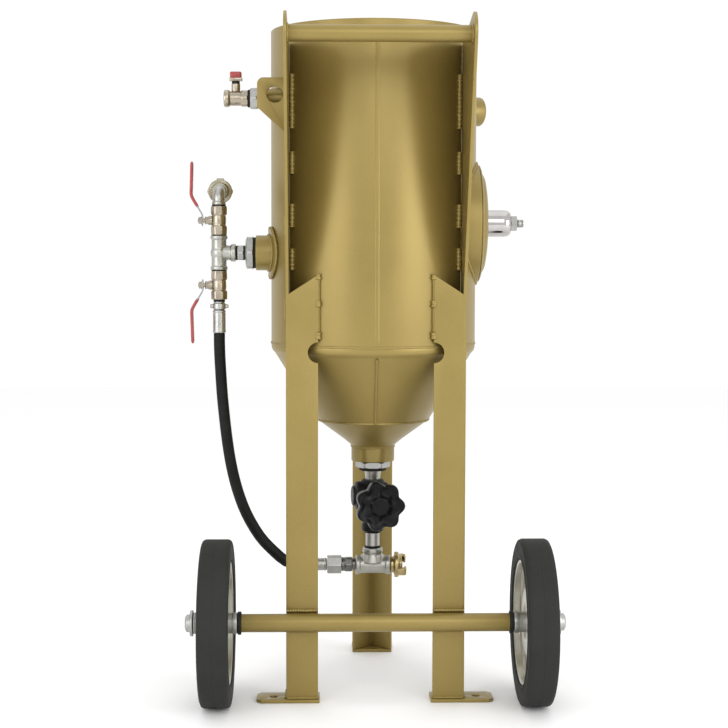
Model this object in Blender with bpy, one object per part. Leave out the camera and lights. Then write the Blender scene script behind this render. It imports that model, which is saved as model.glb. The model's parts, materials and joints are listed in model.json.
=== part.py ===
"""Portable abrasive blast pot on three legs and two wheels.

Metres, +Z up. The origin is on the ground under the middle of the object's footprint.
The front, with the push handle and the wheels, looks along -Y. +X is the hand-hole side.
"""

import math

import bmesh
import bpy
from mathutils import Matrix, Vector

GAP = 0.0003

# Tank
TANK_Y = 0.0465
TANK_RADIUS = 0.200
WALL = 0.006
CONE_LEVEL_WALL = 0.007
REDUCER_LEVEL_WALL = 0.010
RIM_Z = 1.274
SHELL_BOTTOM_Z = 0.670
CONE_TOP_RADIUS = 0.192
CONE_TOP_Z = 0.652
CONE_BOTTOM_RADIUS = 0.1103
CONE_BOTTOM_Z = 0.5201
REDUCER_BOTTOM_RADIUS = 0.052
REDUCER_BOTTOM_Z = 0.4773
COLLAR_RADIUS = 0.0425
COLLAR_TOP_Z = 0.4655
COLLAR_BOTTOM_Z = 0.4373
HEAD_SKIRT_TOP_Z = 1.248
HEAD_DISH_Z = 1.206
HEAD_WALL = 0.005
FILLER_Z = 1.168
FILLER_RADIUS = 0.047
TANK_STEPS = 32
ROUND_STEPS = 14
WIDE_STEPS = 20
FINE_STEPS = 12

# Frame
ANGLE = 0.060
ANGLE_WALL = 0.0055
LEG_X = 0.168
LEG_FRONT_Y = TANK_Y - 0.176
LEG_BACK_Y = TANK_Y - 0.1172
SLANT_LOW_Z = 0.767
SLANT_HIGH_Z = 0.806
NOTCH_Z = 0.661
NOTCH_RADIUS = 0.0192
HANDLE_Y = TANK_Y - 0.330
HANDLE_Z = 1.228
HANDLE_RADIUS = 0.0151
NOSE_RADIUS = 0.038
PLATE_BACK_TOP_Z = 1.236
FOOT_THICKNESS = 0.006
FOOT_HOLE_RADIUS = 0.0075
REAR_LEG_X = 0.006
REAR_LEG_Y = TANK_Y + 0.2444
REAR_LEG_TOP_Z = 0.800

# Wheels
AXLE_RADIUS = 0.0171
AXLE_HALF = 0.251
AXLE_Y = LEG_FRONT_Y - AXLE_RADIUS - GAP
ROD_RADIUS = 0.010
WHEEL_RADIUS = 0.156
WHEEL_WIDTH = 0.056
WHEEL_X = 0.297
RIM_RADIUS = 0.1160
TYRE_BORE = 0.1170
HUB_RADIUS = 0.0200
HUB_INNER_X = 0.2580
HUB_OUTER_X = 0.3405
AXLE_END_X = 0.3565

# Hand-hole
HANDHOLE_Z = 0.905
NECK_RADIUS = 0.1165
NECK_BORE = 0.1065
NECK_LIP = 0.088
NECK_FACE_X = 0.2030
BRIDGE_FACE_X = 0.2218
STUD_RADIUS = 0.008
STUD_END_X = 0.2954

# Air inlet manifold
INLET_Y = TANK_Y - 0.030
INLET_Z = 0.8465
INLET_BOSS_RADIUS = 0.034
INLET_PAD_RADIUS = 0.048
INLET_FACE_X = -0.2287
MANIFOLD_X = -0.3005
TEE_HALF = 0.0334
TEE_RADIUS = 0.0167
VALVE_RADIUS = 0.0151
VALVE_BORE = 0.0070
BALL_RADIUS = 0.0112
UPPER_VALVE_Z = 0.9088
LOWER_VALVE_Z = 0.7838
VALVE_HALF = 0.0279
LEVER_X = -0.3322
STEM_RADIUS = 0.0043
ELBOW_Z = 0.9665
HOSE_RADIUS = 0.011
HOSE_TOP_Z = 0.6905
HOSE_END_X = -0.1355
HOSE_END_Z = 0.2290
FERRULE_LENGTH = 0.0445

# Exhaust
EXHAUST_Y = TANK_Y - 0.085
EXHAUST_Z = 1.138
EXHAUST_VALVE_X = 0.2640
BRACKET_Y = TANK_Y - 0.128
BRACKET_THICKNESS = 0.006
BRACKET_HOLE_RADIUS = 0.0155

# Outlet stack
OUTLET_TEE_Z = 0.2280
OUTLET_TEE_RADIUS = 0.0192
METERING_Z = 0.3580
METERING_TURN = math.radians(8.3)
KNOB_RADIUS = 0.049
KNOB_NEAR = 0.066
KNOB_FAR = 0.094

# Air riser and pop-up valve
RISER_RADIUS = 0.01685
RISER_BORE = 0.0135
RISER_TOP_Z = 1.095
POPUP_DEPTH = 0.045
POPUP_STEM = 0.050

AXIS_X = Vector((1, 0, 0))
AXIS_Y = Vector((0, 1, 0))
AXIS_Z = Vector((0, 0, 1))
KNOB_AXIS = Vector((math.sin(METERING_TURN), -math.cos(METERING_TURN), 0))


def clear_scene():
    for old in list(bpy.data.objects):
        bpy.data.objects.remove(old, do_unlink=True)


def finish_material(name, colour, roughness, metallic):
    material = bpy.data.materials.new(name)
    material.use_nodes = True
    shader = material.node_tree.nodes["Principled BSDF"]
    shader.inputs["Base Color"].default_value = (*colour, 1)
    shader.inputs["Roughness"].default_value = roughness
    shader.inputs["Metallic"].default_value = metallic
    material.diffuse_color = (*colour, 1)
    return material


def make_finishes():
    table = {
        "gold_paint": ((0.36, 0.27, 0.11), 0.42, 0.55),
        "zinc": ((0.55, 0.55, 0.53), 0.38, 0.9),
        "nickel": ((0.52, 0.48, 0.40), 0.32, 0.95),
        "chrome": ((0.75, 0.72, 0.70), 0.10, 1.0),
        "brass": ((0.55, 0.40, 0.14), 0.35, 1.0),
        "black_iron": ((0.02, 0.02, 0.02), 0.45, 0.3),
        "black_plastic": ((0.015, 0.015, 0.015), 0.40, 0.0),
        "tyre_rubber": ((0.035, 0.034, 0.030), 0.85, 0.0),
        "black_rubber": ((0.02, 0.02, 0.02), 0.7, 0.0),
        "hose_rubber": ((0.018, 0.018, 0.017), 0.55, 0.0),
        "wheel_steel": ((0.42, 0.41, 0.35), 0.35, 0.8),
        "red_grip": ((0.36, 0.03, 0.03), 0.45, 0.0),
    }
    return {name: finish_material(name, *values) for name, values in table.items()}


def place(mesh, name, finish, location=(0, 0, 0), direction=AXIS_Z):
    """Put a mesh in the scene with its local +Z turned to the direction."""
    for polygon in mesh.polygons:
        polygon.use_smooth = True
    mesh.set_sharp_from_angle(angle=math.radians(35))
    thing = bpy.data.objects.new(name, mesh)
    thing.location = location
    thing.rotation_mode = "QUATERNION"
    thing.rotation_quaternion = turn_to(direction)
    mesh.materials.append(FINISHES[finish])
    bpy.context.scene.collection.objects.link(thing)
    return thing


def turn_to(direction):
    """Rotation that takes +Z to the direction, keeping local X level where it can."""
    toward = Vector(direction).normalized()
    if abs(toward.z) > 0.999:
        side = AXIS_X
    else:
        side = AXIS_Z.cross(toward).normalized()
    third = toward.cross(side)
    return Matrix((side, third, toward)).transposed().to_quaternion()


def mesh_from(bm, name):
    bmesh.ops.remove_doubles(bm, verts=bm.verts, dist=1e-6)
    bmesh.ops.dissolve_degenerate(bm, edges=bm.edges, dist=1e-6)
    bmesh.ops.recalc_face_normals(bm, faces=bm.faces)
    mesh = bpy.data.meshes.new(name)
    bm.to_mesh(mesh)
    bm.free()
    return mesh


def lathe(name, profile, finish, location=(0, 0, 0), direction=AXIS_Z, steps=ROUND_STEPS):
    """Turn a closed outline of (radius, height) points about local Z."""
    bm = bmesh.new()
    points = [bm.verts.new((radius, 0, height)) for radius, height in profile]
    edges = [bm.edges.new((a, b)) for a, b in zip(points, points[1:] + points[:1])]
    axis_edges = [e for e in edges if all(abs(v.co.x) < 1e-9 for v in e.verts)]
    bmesh.ops.delete(bm, geom=axis_edges, context="EDGES")
    bmesh.ops.spin(
        bm,
        geom=bm.verts[:] + bm.edges[:],
        cent=(0, 0, 0),
        axis=(0, 0, 1),
        angle=2 * math.pi,
        steps=steps,
        use_merge=True,
    )
    return place(mesh_from(bm, name), name, finish, location, direction)


def rod(name, radius, start, end, finish, location, direction=AXIS_Z, steps=ROUND_STEPS):
    profile = [(0, start), (radius, start), (radius, end), (0, end)]
    return lathe(name, profile, finish, location, direction, steps)


def ring(name, outer, inner, start, end, finish, location, direction=AXIS_Z, steps=ROUND_STEPS):
    profile = [(inner, start), (outer, start), (outer, end), (inner, end)]
    return lathe(name, profile, finish, location, direction, steps)


def slab(name, outline, near, far, finish, plane="XY", bevel=0.0):
    """Extrude a flat outline between two levels of the axis that the plane leaves out."""
    spots = {
        "XY": lambda u, v, w: (u, v, w),
        "XZ": lambda u, v, w: (u, w, v),
        "YZ": lambda u, v, w: (w, u, v),
    }[plane]
    bm = bmesh.new()
    face = bm.faces.new([bm.verts.new(spots(u, v, near)) for u, v in outline])
    grown = bmesh.ops.extrude_face_region(bm, geom=[face])
    moved = [part for part in grown["geom"] if isinstance(part, bmesh.types.BMVert)]
    shift = Vector(spots(0, 0, far - near))
    bmesh.ops.translate(bm, verts=moved, vec=shift)
    thing = place(mesh_from(bm, name), name, finish)
    if bevel:
        add_bevel(thing, bevel)
    return thing


def add_bevel(thing, width):
    bevel = thing.modifiers.new("edge", "BEVEL")
    bevel.width = width
    bevel.segments = 1
    bevel.limit_method = "ANGLE"
    bevel.angle_limit = math.radians(40)


def block(name, low, high, finish):
    outline = [(low[0], low[1]), (high[0], low[1]), (high[0], high[1]), (low[0], high[1])]
    return slab(name, outline, low[2], high[2], finish)


def combine(target, operation, *others):
    """Boolean each other object into the target and hide it as a cutter."""
    for other in others:
        change = target.modifiers.new(other.name, "BOOLEAN")
        change.operation = operation
        change.solver = "EXACT"
        change.object = other
        other.hide_render = True
        other.display_type = "WIRE"
    return target


def cutter(radius, start, end, location, direction=AXIS_Z, steps=ROUND_STEPS):
    return rod("cut_round", radius, start, end, "zinc", location, direction, steps)


def arc(centre, radius, first, last, count):
    """Points on a circle, from one angle to another in degrees."""
    angles = [math.radians(first + (last - first) * i / (count - 1)) for i in range(count)]
    return [(centre[0] + radius * math.cos(a), centre[1] + radius * math.sin(a)) for a in angles]


def smooth_route(route, spacing):
    """Points along a Catmull-Rom curve through the route, about one spacing apart."""
    stops = [Vector(stop) for stop in route]
    stops = [2 * stops[0] - stops[1]] + stops + [2 * stops[-1] - stops[-2]]
    line = []
    for a, b, c, d in zip(stops, stops[1:], stops[2:], stops[3:]):
        pieces = max(1, round((c - b).length / spacing))
        for i in range(pieces):
            t = i / pieces
            square = (2 * a - 5 * b + 4 * c - d) * t**2
            cube = (3 * b - a - 3 * c + d) * t**3
            line.append(0.5 * (2 * b + (c - a) * t + square + cube))
    line.append(stops[-2])
    return line


def bent_pipe(name, line, outer, bore, finish, sides=16):
    """Sweep an open pipe wall along a line of points."""
    bm = bmesh.new()
    rows = []
    side = None
    for i, spot in enumerate(line):
        before = line[max(i - 1, 0)]
        after = line[min(i + 1, len(line) - 1)]
        along = (after - before).normalized()
        if side is None:
            side = along.orthogonal().normalized()
        side = (side - along * side.dot(along)).normalized()
        third = along.cross(side)
        row = []
        for radius in (outer, bore):
            circle = []
            for k in range(sides):
                angle = 2 * math.pi * k / sides
                outward = math.cos(angle) * side + math.sin(angle) * third
                circle.append(bm.verts.new(spot + radius * outward))
            row.append(circle)
        rows.append(row)
    loops = [row[0] for row in rows] + [row[1] for row in reversed(rows)]
    for low, high in zip(loops, loops[1:] + loops[:1]):
        for k in range(sides):
            n = (k + 1) % sides
            bm.faces.new((low[k], low[n], high[n], high[k]))
    return place(mesh_from(bm, name), name, finish)


def offset_inward(outline, wall):
    """The same open outline of (radius, height) points moved by the wall towards the axis."""
    moved = []
    for i, (radius, height) in enumerate(outline):
        before = Vector(outline[max(i - 1, 0)])
        after = Vector(outline[min(i + 1, len(outline) - 1)])
        along = (after - before).normalized()
        inward = Vector((along.y, -along.x))
        if inward.x > 0:
            inward = -inward
        moved.append((radius + inward.x * wall, height + inward.y * wall))
    return moved


def tank_cylinder(extra):
    return cutter(TANK_RADIUS + extra, 0.3, 1.4, (0, TANK_Y, 0), AXIS_Z, TANK_STEPS)


def make_tank():
    axis = (0, TANK_Y, 0)
    inner = TANK_RADIUS - WALL
    bottom = SHELL_BOTTOM_Z + GAP
    shell = ring("tank_shell", TANK_RADIUS, inner, bottom, RIM_Z, "gold_paint", axis, AXIS_Z, TANK_STEPS)
    port_way = Vector((math.cos(math.radians(24)), math.sin(math.radians(24)), 0))
    port_base = Vector((0, TANK_Y, 1.131))
    combine(shell, "UNION", cutter(0.029, 0.197, 0.2375, port_base, port_way))
    combine(
        shell,
        "DIFFERENCE",
        cutter(NECK_RADIUS - 0.004, 0.10, 0.30, (0, TANK_Y, HANDHOLE_Z), AXIS_X, TANK_STEPS),
        cutter(0.0215, 0.10, 0.30, (0, INLET_Y, INLET_Z), -AXIS_X),
        cutter(0.0110, 0.10, 0.30, (0, EXHAUST_Y, EXHAUST_Z), -AXIS_X),
    )

    knuckle = [
        (TANK_RADIUS, SHELL_BOTTOM_Z),
        (TANK_RADIUS - 0.0006, SHELL_BOTTOM_Z - 0.007),
        (TANK_RADIUS - 0.0032, SHELL_BOTTOM_Z - 0.0135),
        (CONE_TOP_RADIUS, CONE_TOP_Z),
        (CONE_BOTTOM_RADIUS, CONE_BOTTOM_Z + GAP),
    ]
    cone_inside = [(radius - CONE_LEVEL_WALL, height) for radius, height in knuckle]
    lathe("bottom_cone", knuckle + cone_inside[::-1], "gold_paint", axis, AXIS_Z, TANK_STEPS)

    slope = [
        (CONE_BOTTOM_RADIUS, CONE_BOTTOM_Z),
        (REDUCER_BOTTOM_RADIUS, REDUCER_BOTTOM_Z),
        (COLLAR_RADIUS + 0.003, REDUCER_BOTTOM_Z - 0.006),
        (COLLAR_RADIUS, COLLAR_TOP_Z + GAP),
    ]
    slope_inside = [(radius - REDUCER_LEVEL_WALL, height) for radius, height in slope]
    lathe("outlet_reducer", slope + slope_inside[::-1], "gold_paint", axis, AXIS_Z, TANK_STEPS)
    ends = (COLLAR_BOTTOM_Z, COLLAR_TOP_Z)
    ring("outlet_collar", COLLAR_RADIUS, 0.0250, *ends, "gold_paint", axis, AXIS_Z, WIDE_STEPS)
    make_head(axis, inner - 2 * GAP)


def make_head(axis, skirt_radius):
    """Dished filling head, its rubber seat, the pop-up cone and the air riser."""
    underside = [
        (skirt_radius, HEAD_SKIRT_TOP_Z),
        (skirt_radius, HEAD_DISH_Z + 0.012),
        (skirt_radius - 0.012, HEAD_DISH_Z),
        (0.120, HEAD_DISH_Z - 0.021),
        (0.066, FILLER_Z + 0.003),
        (0.060, FILLER_Z - 0.018),
    ]
    upper_side = offset_inward(underside, HEAD_WALL)
    lathe("top_head", underside + upper_side[::-1], "gold_paint", axis, AXIS_Z, TANK_STEPS)
    seat_top = FILLER_Z - 0.0225
    seat = (seat_top - 0.010, seat_top)
    ring("filler_seal", 0.0590, FILLER_RADIUS, *seat, "black_rubber", axis, AXIS_Z, WIDE_STEPS)

    cone_base = RISER_TOP_Z + GAP
    cone_tip = cone_base + POPUP_DEPTH
    cone = [
        (0, cone_base - POPUP_STEM),
        (0.0122, cone_base - POPUP_STEM),
        (0.0122, cone_base),
        (0.030, cone_base),
        (0.052, cone_base + 0.004),
        (0.053, cone_base + 0.007),
        (0.010, cone_tip - 0.003),
        (0, cone_tip),
    ]
    lathe("popup_valve", cone, "black_rubber", (0, TANK_Y, 0), AXIS_Z, WIDE_STEPS)

    route = [
        (-0.2040, INLET_Y, INLET_Z),
        (-0.1500, INLET_Y, INLET_Z),
        (-0.0900, INLET_Y + 0.006, INLET_Z + 0.001),
        (-0.0300, INLET_Y + 0.022, INLET_Z + 0.018),
        (-0.0020, TANK_Y - 0.001, INLET_Z + 0.065),
        (0, TANK_Y, INLET_Z + 0.110),
        (0, TANK_Y, INLET_Z + 0.180),
        (0, TANK_Y, RISER_TOP_Z),
    ]
    bent_pipe("riser_pipe", smooth_route(route, 0.040), RISER_RADIUS, RISER_BORE, "zinc", FINE_STEPS)


def make_side_frames():
    """Each front leg is one angle with its side carried up as the handle plate."""
    inner_x = LEG_X - ANGLE
    bottom = FOOT_THICKNESS + GAP
    nose = arc((HANDLE_Y, HANDLE_Z), NOSE_RADIUS, 200, 85, 9)
    side_outline = [(LEG_FRONT_Y, bottom), (LEG_FRONT_Y, SLANT_LOW_Z)] + nose
    side_outline += [(LEG_BACK_Y, PLATE_BACK_TOP_Z), (LEG_BACK_Y, bottom)]
    for name, way in (("side_frame_left", -1), ("side_frame_right", 1)):
        notch = arc((way * inner_x, NOTCH_Z), NOTCH_RADIUS, 90, 90 - way * 180, 7)
        front_outline = [(way * LEG_X, bottom), (way * LEG_X, SLANT_LOW_Z)]
        front_outline += [(way * inner_x, SLANT_HIGH_Z)] + notch + [(way * inner_x, bottom)]
        frame = slab(name, side_outline, way * LEG_X, way * (LEG_X - ANGLE_WALL), "gold_paint", "YZ")
        flange = slab("cut_flange", front_outline, LEG_FRONT_Y, LEG_FRONT_Y + ANGLE_WALL, "gold_paint", "XZ")
        combine(frame, "UNION", flange)

    rod(
        "handle_tube",
        HANDLE_RADIUS,
        -(LEG_X - ANGLE_WALL - GAP),
        LEG_X - ANGLE_WALL - GAP,
        "gold_paint",
        (0, HANDLE_Y, HANDLE_Z),
        AXIS_X,
    )


def make_rear_leg():
    reach = ANGLE / math.sqrt(2)
    step = ANGLE_WALL / math.sqrt(2)
    outline = [
        (REAR_LEG_X, REAR_LEG_Y),
        (REAR_LEG_X - reach, REAR_LEG_Y - reach),
        (REAR_LEG_X - reach + step, REAR_LEG_Y - reach - step),
        (REAR_LEG_X, REAR_LEG_Y - 2 * step),
        (REAR_LEG_X + reach - step, REAR_LEG_Y - reach - step),
        (REAR_LEG_X + reach, REAR_LEG_Y - reach),
    ]
    slab("rear_leg", outline, FOOT_THICKNESS + GAP, REAR_LEG_TOP_Z, "gold_paint", "XY")


def make_feet():
    for name, way in (("foot_left", -1), ("foot_right", 1)):
        low = (min(way * 0.105, way * 0.224), TANK_Y - 0.184, 0)
        high = (max(way * 0.105, way * 0.224), TANK_Y - 0.128, FOOT_THICKNESS)
        foot = block(name, low, high, "gold_paint")
        hole = (way * 0.192, TANK_Y - 0.158, 0)
        combine(foot, "DIFFERENCE", cutter(FOOT_HOLE_RADIUS, -0.01, 0.02, hole, AXIS_Z, FINE_STEPS))
    low = (REAR_LEG_X - 0.0415, TANK_Y + 0.2005, 0)
    high = (REAR_LEG_X + 0.0415, TANK_Y + 0.275, FOOT_THICKNESS)
    foot = block("foot_rear", low, high, "gold_paint")
    hole = (REAR_LEG_X, TANK_Y + 0.2615, 0)
    combine(foot, "DIFFERENCE", cutter(FOOT_HOLE_RADIUS, -0.01, 0.02, hole, AXIS_Z, FINE_STEPS))


def make_axle():
    centre = (0, AXLE_Y, WHEEL_RADIUS)
    ring("axle_tube", AXLE_RADIUS, 0.0120, -AXLE_HALF, AXLE_HALF, "gold_paint", centre, AXIS_X)
    rod("axle_rod", ROD_RADIUS, -0.3480, 0.3480, "zinc", centre, AXIS_X)
    half = WHEEL_WIDTH / 2
    shoulder = 0.007
    tyre = [
        (TYRE_BORE, -half),
        (WHEEL_RADIUS - shoulder, -half),
        (WHEEL_RADIUS, -half + shoulder),
        (WHEEL_RADIUS, half - shoulder),
        (WHEEL_RADIUS - shoulder, half),
        (TYRE_BORE, half),
    ]
    inner_end = HUB_INNER_X - WHEEL_X
    outer_end = HUB_OUTER_X - WHEEL_X
    disc = [
        (0.0106, inner_end),
        (HUB_RADIUS, inner_end),
        (HUB_RADIUS, -0.012),
        (0.060, -0.016),
        (0.108, -0.008),
        (0.1125, -0.024),
        (RIM_RADIUS, -0.024),
        (RIM_RADIUS, 0.024),
        (0.1125, 0.024),
        (0.108, -0.004),
        (0.060, -0.012),
        (HUB_RADIUS, -0.004),
        (HUB_RADIUS, outer_end),
        (0.0106, outer_end),
    ]
    cap = [
        (0.0104, HUB_OUTER_X + 0.0006),
        (0.0245, HUB_OUTER_X + 0.0006),
        (0.0245, HUB_OUTER_X + 0.0066),
        (0.0165, HUB_OUTER_X + 0.0066),
        (0.0165, AXLE_END_X - 0.003),
        (0.0120, AXLE_END_X),
        (0, AXLE_END_X),
        (0, 0.3490),
        (0.0104, 0.3490),
    ]
    for side, way in (("left", -AXIS_X), ("right", AXIS_X)):
        wheel_at = Vector(centre) + way * WHEEL_X
        lathe(f"tyre_{side}", tyre, "tyre_rubber", wheel_at, way, TANK_STEPS)
        lathe(f"wheel_disc_{side}", disc, "wheel_steel", wheel_at, way, WIDE_STEPS)
        lathe(f"axle_cap_{side}", cap, "zinc", centre, way, FINE_STEPS)


def make_handhole():
    centre = (0, TANK_Y, HANDHOLE_Z)
    neck = lathe(
        "handhole_neck",
        [
            (NECK_BORE, 0.140),
            (NECK_RADIUS, 0.140),
            (NECK_RADIUS, NECK_FACE_X),
            (NECK_LIP, NECK_FACE_X),
            (NECK_LIP, NECK_FACE_X - 0.009),
            (NECK_BORE, NECK_FACE_X - 0.009),
        ],
        "gold_paint",
        centre,
        AXIS_X,
        TANK_STEPS,
    )
    combine(neck, "DIFFERENCE", tank_cylinder(GAP))
    lip_back = NECK_FACE_X - 0.009
    door_front = lip_back - 0.004
    squeeze = (door_front + GAP, lip_back - GAP)
    ring("handhole_gasket", 0.104, 0.0895, *squeeze, "black_rubber", centre, AXIS_X, WIDE_STEPS)
    door_back = door_front - 0.006
    rod("handhole_door", 0.104, door_back, door_front, "gold_paint", centre, AXIS_X, WIDE_STEPS)
    bridge = [
        (STUD_RADIUS + 0.0008, 0.2128),
        (0.050, 0.2118),
        (0.084, 0.2085),
        (0.100, 0.2035),
        (0.1140, 0.2035),
        (0.1140, 0.2062),
        (0.106, 0.2106),
        (0.090, 0.2165),
        (0.060, 0.2202),
        (0.030, BRIDGE_FACE_X),
        (STUD_RADIUS + 0.0008, BRIDGE_FACE_X),
    ]
    lathe("handhole_bridge", bridge, "gold_paint", centre, AXIS_X, TANK_STEPS)
    rod("clamp_stud", STUD_RADIUS, door_front + GAP, STUD_END_X, "zinc", centre, AXIS_X, FINE_STEPS)
    sleeve = [
        (STUD_RADIUS + 0.001, 0.2225),
        (0.0250, 0.2225),
        (0.0262, 0.2240),
        (0.0262, 0.2550),
        (0.0245, 0.2640),
        (0.0195, 0.2695),
        (STUD_RADIUS + 0.001, 0.2695),
    ]
    lathe("clamp_sleeve", sleeve, "chrome", centre, AXIS_X, WIDE_STEPS)
    nut = ring("clamp_nut", 0.0166, STUD_RADIUS + 0.0009, 0.2699, 0.2814, "zinc", centre, AXIS_X, 6)
    combine(nut, "DIFFERENCE", cutter(STUD_RADIUS + 0.0009, 0.26, 0.29, centre, AXIS_X, FINE_STEPS))


def valve_body(name, centre, run, stem_way):
    """Ball valve body, open along its run, with a bonnet for the stem."""
    outer = [
        (VALVE_RADIUS, -VALVE_HALF),
        (VALVE_RADIUS, -0.0160),
        (0.0134, -0.0140),
        (0.0134, -0.0120),
        (VALVE_RADIUS, -0.0095),
        (VALVE_RADIUS, 0.0095),
        (0.0134, 0.0120),
        (0.0134, 0.0140),
        (VALVE_RADIUS, 0.0160),
        (VALVE_RADIUS, VALVE_HALF),
    ]
    pocket = BALL_RADIUS + 0.0012
    hollow = arc((0, 0), pocket, 52, -52, 7)
    inside = [(VALVE_BORE, VALVE_HALF)] + [(x, z) for x, z in hollow] + [(VALVE_BORE, -VALVE_HALF)]
    body = lathe(name, outer + inside, "nickel", centre, run, FINE_STEPS)
    combine(body, "UNION", cutter(0.0085, 0.0130, 0.0265, centre, stem_way, FINE_STEPS))
    combine(body, "DIFFERENCE", cutter(0.0050, 0.0050, 0.0400, centre, stem_way, FINE_STEPS))
    return body


def valve_ball(name, centre, run, stem_way, reach, nut_end):
    """Drilled ball with its stem and the nut that holds the handle."""
    neck_angle = math.degrees(math.acos(STEM_RADIUS / BALL_RADIUS))
    sphere = arc((0, 0), BALL_RADIUS, -90, neck_angle, 9)
    profile = sphere + [(STEM_RADIUS, reach), (0.0072, reach), (0.0072, nut_end), (0, nut_end)]
    profile[0] = (0, -BALL_RADIUS)
    ball = lathe(name, profile, "nickel", centre, stem_way, FINE_STEPS)
    combine(ball, "DIFFERENCE", cutter(0.0066, -0.03, 0.03, centre, run, FINE_STEPS))
    return ball


def lever(name, centre, up):
    """Cranked strip handle: flat at the stem, stepping outwards to a dipped grip."""
    line = [
        (LEVER_X, -0.012),
        (LEVER_X, 0.010),
        (LEVER_X - 0.0113, 0.030),
        (LEVER_X - 0.0213, 0.048),
        (LEVER_X - 0.0198, 0.1165),
    ]
    thick = [0.0015, 0.0015, 0.0016, 0.0029, 0.0029]
    left = []
    right = []
    for i, (x, rise) in enumerate(line):
        before = Vector(line[max(i - 1, 0)])
        after = Vector(line[min(i + 1, len(line) - 1)])
        across = (after - before).normalized().orthogonal()
        left.append((x + across.x * thick[i], centre[2] + up * (rise + across.y * thick[i])))
        right.append((x - across.x * thick[i], centre[2] + up * (rise - across.y * thick[i])))
    strip = slab(name, left + right[::-1], INLET_Y - 0.008, INLET_Y + 0.008, "red_grip", "XZ")
    strip.data.transform(Matrix.Translation(-Vector(centre)))
    strip.location = centre
    combine(strip, "DIFFERENCE", cutter(0.0048, 0.02, 0.05, centre, -AXIS_X, FINE_STEPS))
    return strip


def make_manifold():
    centre = Vector((0, INLET_Y, INLET_Z))
    boss = cutter(INLET_BOSS_RADIUS, 0.150, -INLET_FACE_X, centre, -AXIS_X, WIDE_STEPS)
    boss.name = "inlet_boss"
    boss.data.materials[0] = FINISHES["gold_paint"]
    pad = cutter(INLET_PAD_RADIUS, 0.150, 0.230, centre, -AXIS_X, WIDE_STEPS)
    combine(pad, "INTERSECT", tank_cylinder(0.0055))
    combine(boss, "UNION", pad)
    combine(boss, "DIFFERENCE", tank_cylinder(GAP), cutter(0.0215, 0.10, 0.30, centre, -AXIS_X))

    bushing = [
        (0.0145, 0.2052),
        (0.0205, 0.2052),
        (0.0205, 0.2290),
        (0.0295, 0.2290),
        (0.0295, 0.2343),
        (0.0345, 0.2343),
        (0.0345, 0.2487),
        (0.0145, 0.2487),
    ]
    lathe("inlet_bushing", bushing, "zinc", centre, -AXIS_X)
    nipple = [
        (0.0090, 0.2490),
        (0.0135, 0.2490),
        (0.0135, 0.2520),
        (0.0156, 0.2530),
        (0.0156, 0.2640),
        (0.0135, 0.2650),
        (0.0135, 0.2675),
        (0.0090, 0.2675),
    ]
    lathe("inlet_nipple", nipple, "zinc", centre, -AXIS_X)

    hub = Vector((MANIFOLD_X, INLET_Y, INLET_Z))
    band = 0.0070
    tee_run = [
        (0, -TEE_HALF),
        (TEE_RADIUS, -TEE_HALF),
        (TEE_RADIUS, -TEE_HALF + band),
        (0.0145, -TEE_HALF + band + 0.001),
        (0.0145, TEE_HALF - band - 0.001),
        (TEE_RADIUS, TEE_HALF - band),
        (TEE_RADIUS, TEE_HALF),
        (0, TEE_HALF),
    ]
    tee = lathe("inlet_tee", tee_run, "zinc", hub, AXIS_Z, ROUND_STEPS)
    branch_end = -0.2678 - MANIFOLD_X
    branch = [(0, 0), (0.0142, 0), (0.0142, 0.0235), (0.0174, 0.0245), (0.0174, branch_end), (0, branch_end)]
    combine(tee, "UNION", lathe("cut_branch", branch, "zinc", hub, AXIS_X, ROUND_STEPS))
    combine(tee, "DIFFERENCE", cutter(0.0098, -0.05, 0.05, hub), cutter(0.0098, 0, 0.05, hub, AXIS_X))

    for level, spot_z, up in (("upper", UPPER_VALVE_Z, 1), ("lower", LOWER_VALVE_Z, -1)):
        spot = Vector((MANIFOLD_X, INLET_Y, spot_z))
        valve_body(f"{level}_valve_body", spot, AXIS_Z, -AXIS_X)
        stem_end = MANIFOLD_X - LEVER_X + 0.0021
        valve_ball(f"{level}_valve_ball", spot, AXIS_Z, -AXIS_X, stem_end, stem_end + 0.006)
        lever(f"{level}_valve_lever", spot, up)

    elbow_bottom = UPPER_VALVE_Z + VALVE_HALF + GAP
    bend = 0.018
    corner = arc((bend, ELBOW_Z - bend), bend, 180, 90, 5)
    line = [Vector((MANIFOLD_X, INLET_Y, elbow_bottom))]
    line += [Vector((MANIFOLD_X, INLET_Y + y, z)) for y, z in corner]
    line += [Vector((MANIFOLD_X, INLET_Y + 0.030, ELBOW_Z))]
    bent_pipe("upper_elbow", line, 0.0118, 0.0075, "nickel", FINE_STEPS)
    coupling_base = Vector((MANIFOLD_X, INLET_Y + 0.0303, ELBOW_Z))
    claw_coupling("claw_coupling", coupling_base, AXIS_Y, 0.0237, 0.0075, math.pi / 2)


def claw_coupling(name, base, way, radius, bore, turn=0.0):
    """Quick coupling half: a lugged ring with two hooked claws on its face."""
    profile = [
        (bore, 0),
        (0.0155, 0),
        (0.0155, 0.006),
        (radius, 0.008),
        (radius, 0.016),
        (radius - 0.006, 0.018),
        (radius - 0.006, 0.022),
        (bore, 0.022),
    ]
    body = lathe(name, profile, "brass", base, way, ROUND_STEPS)
    for sign in (-1, 1):
        claw = block("cut_claw", (0.0150, -0.007, 0.012), (radius + 0.0025, 0.007, 0.031), "brass")
        roll = Matrix.Rotation(turn + math.pi / 2 * (1 - sign), 3, "Z").to_quaternion()
        claw.rotation_quaternion = turn_to(way) @ roll
        claw.location = base
        combine(body, "UNION", claw)
    return body


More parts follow.
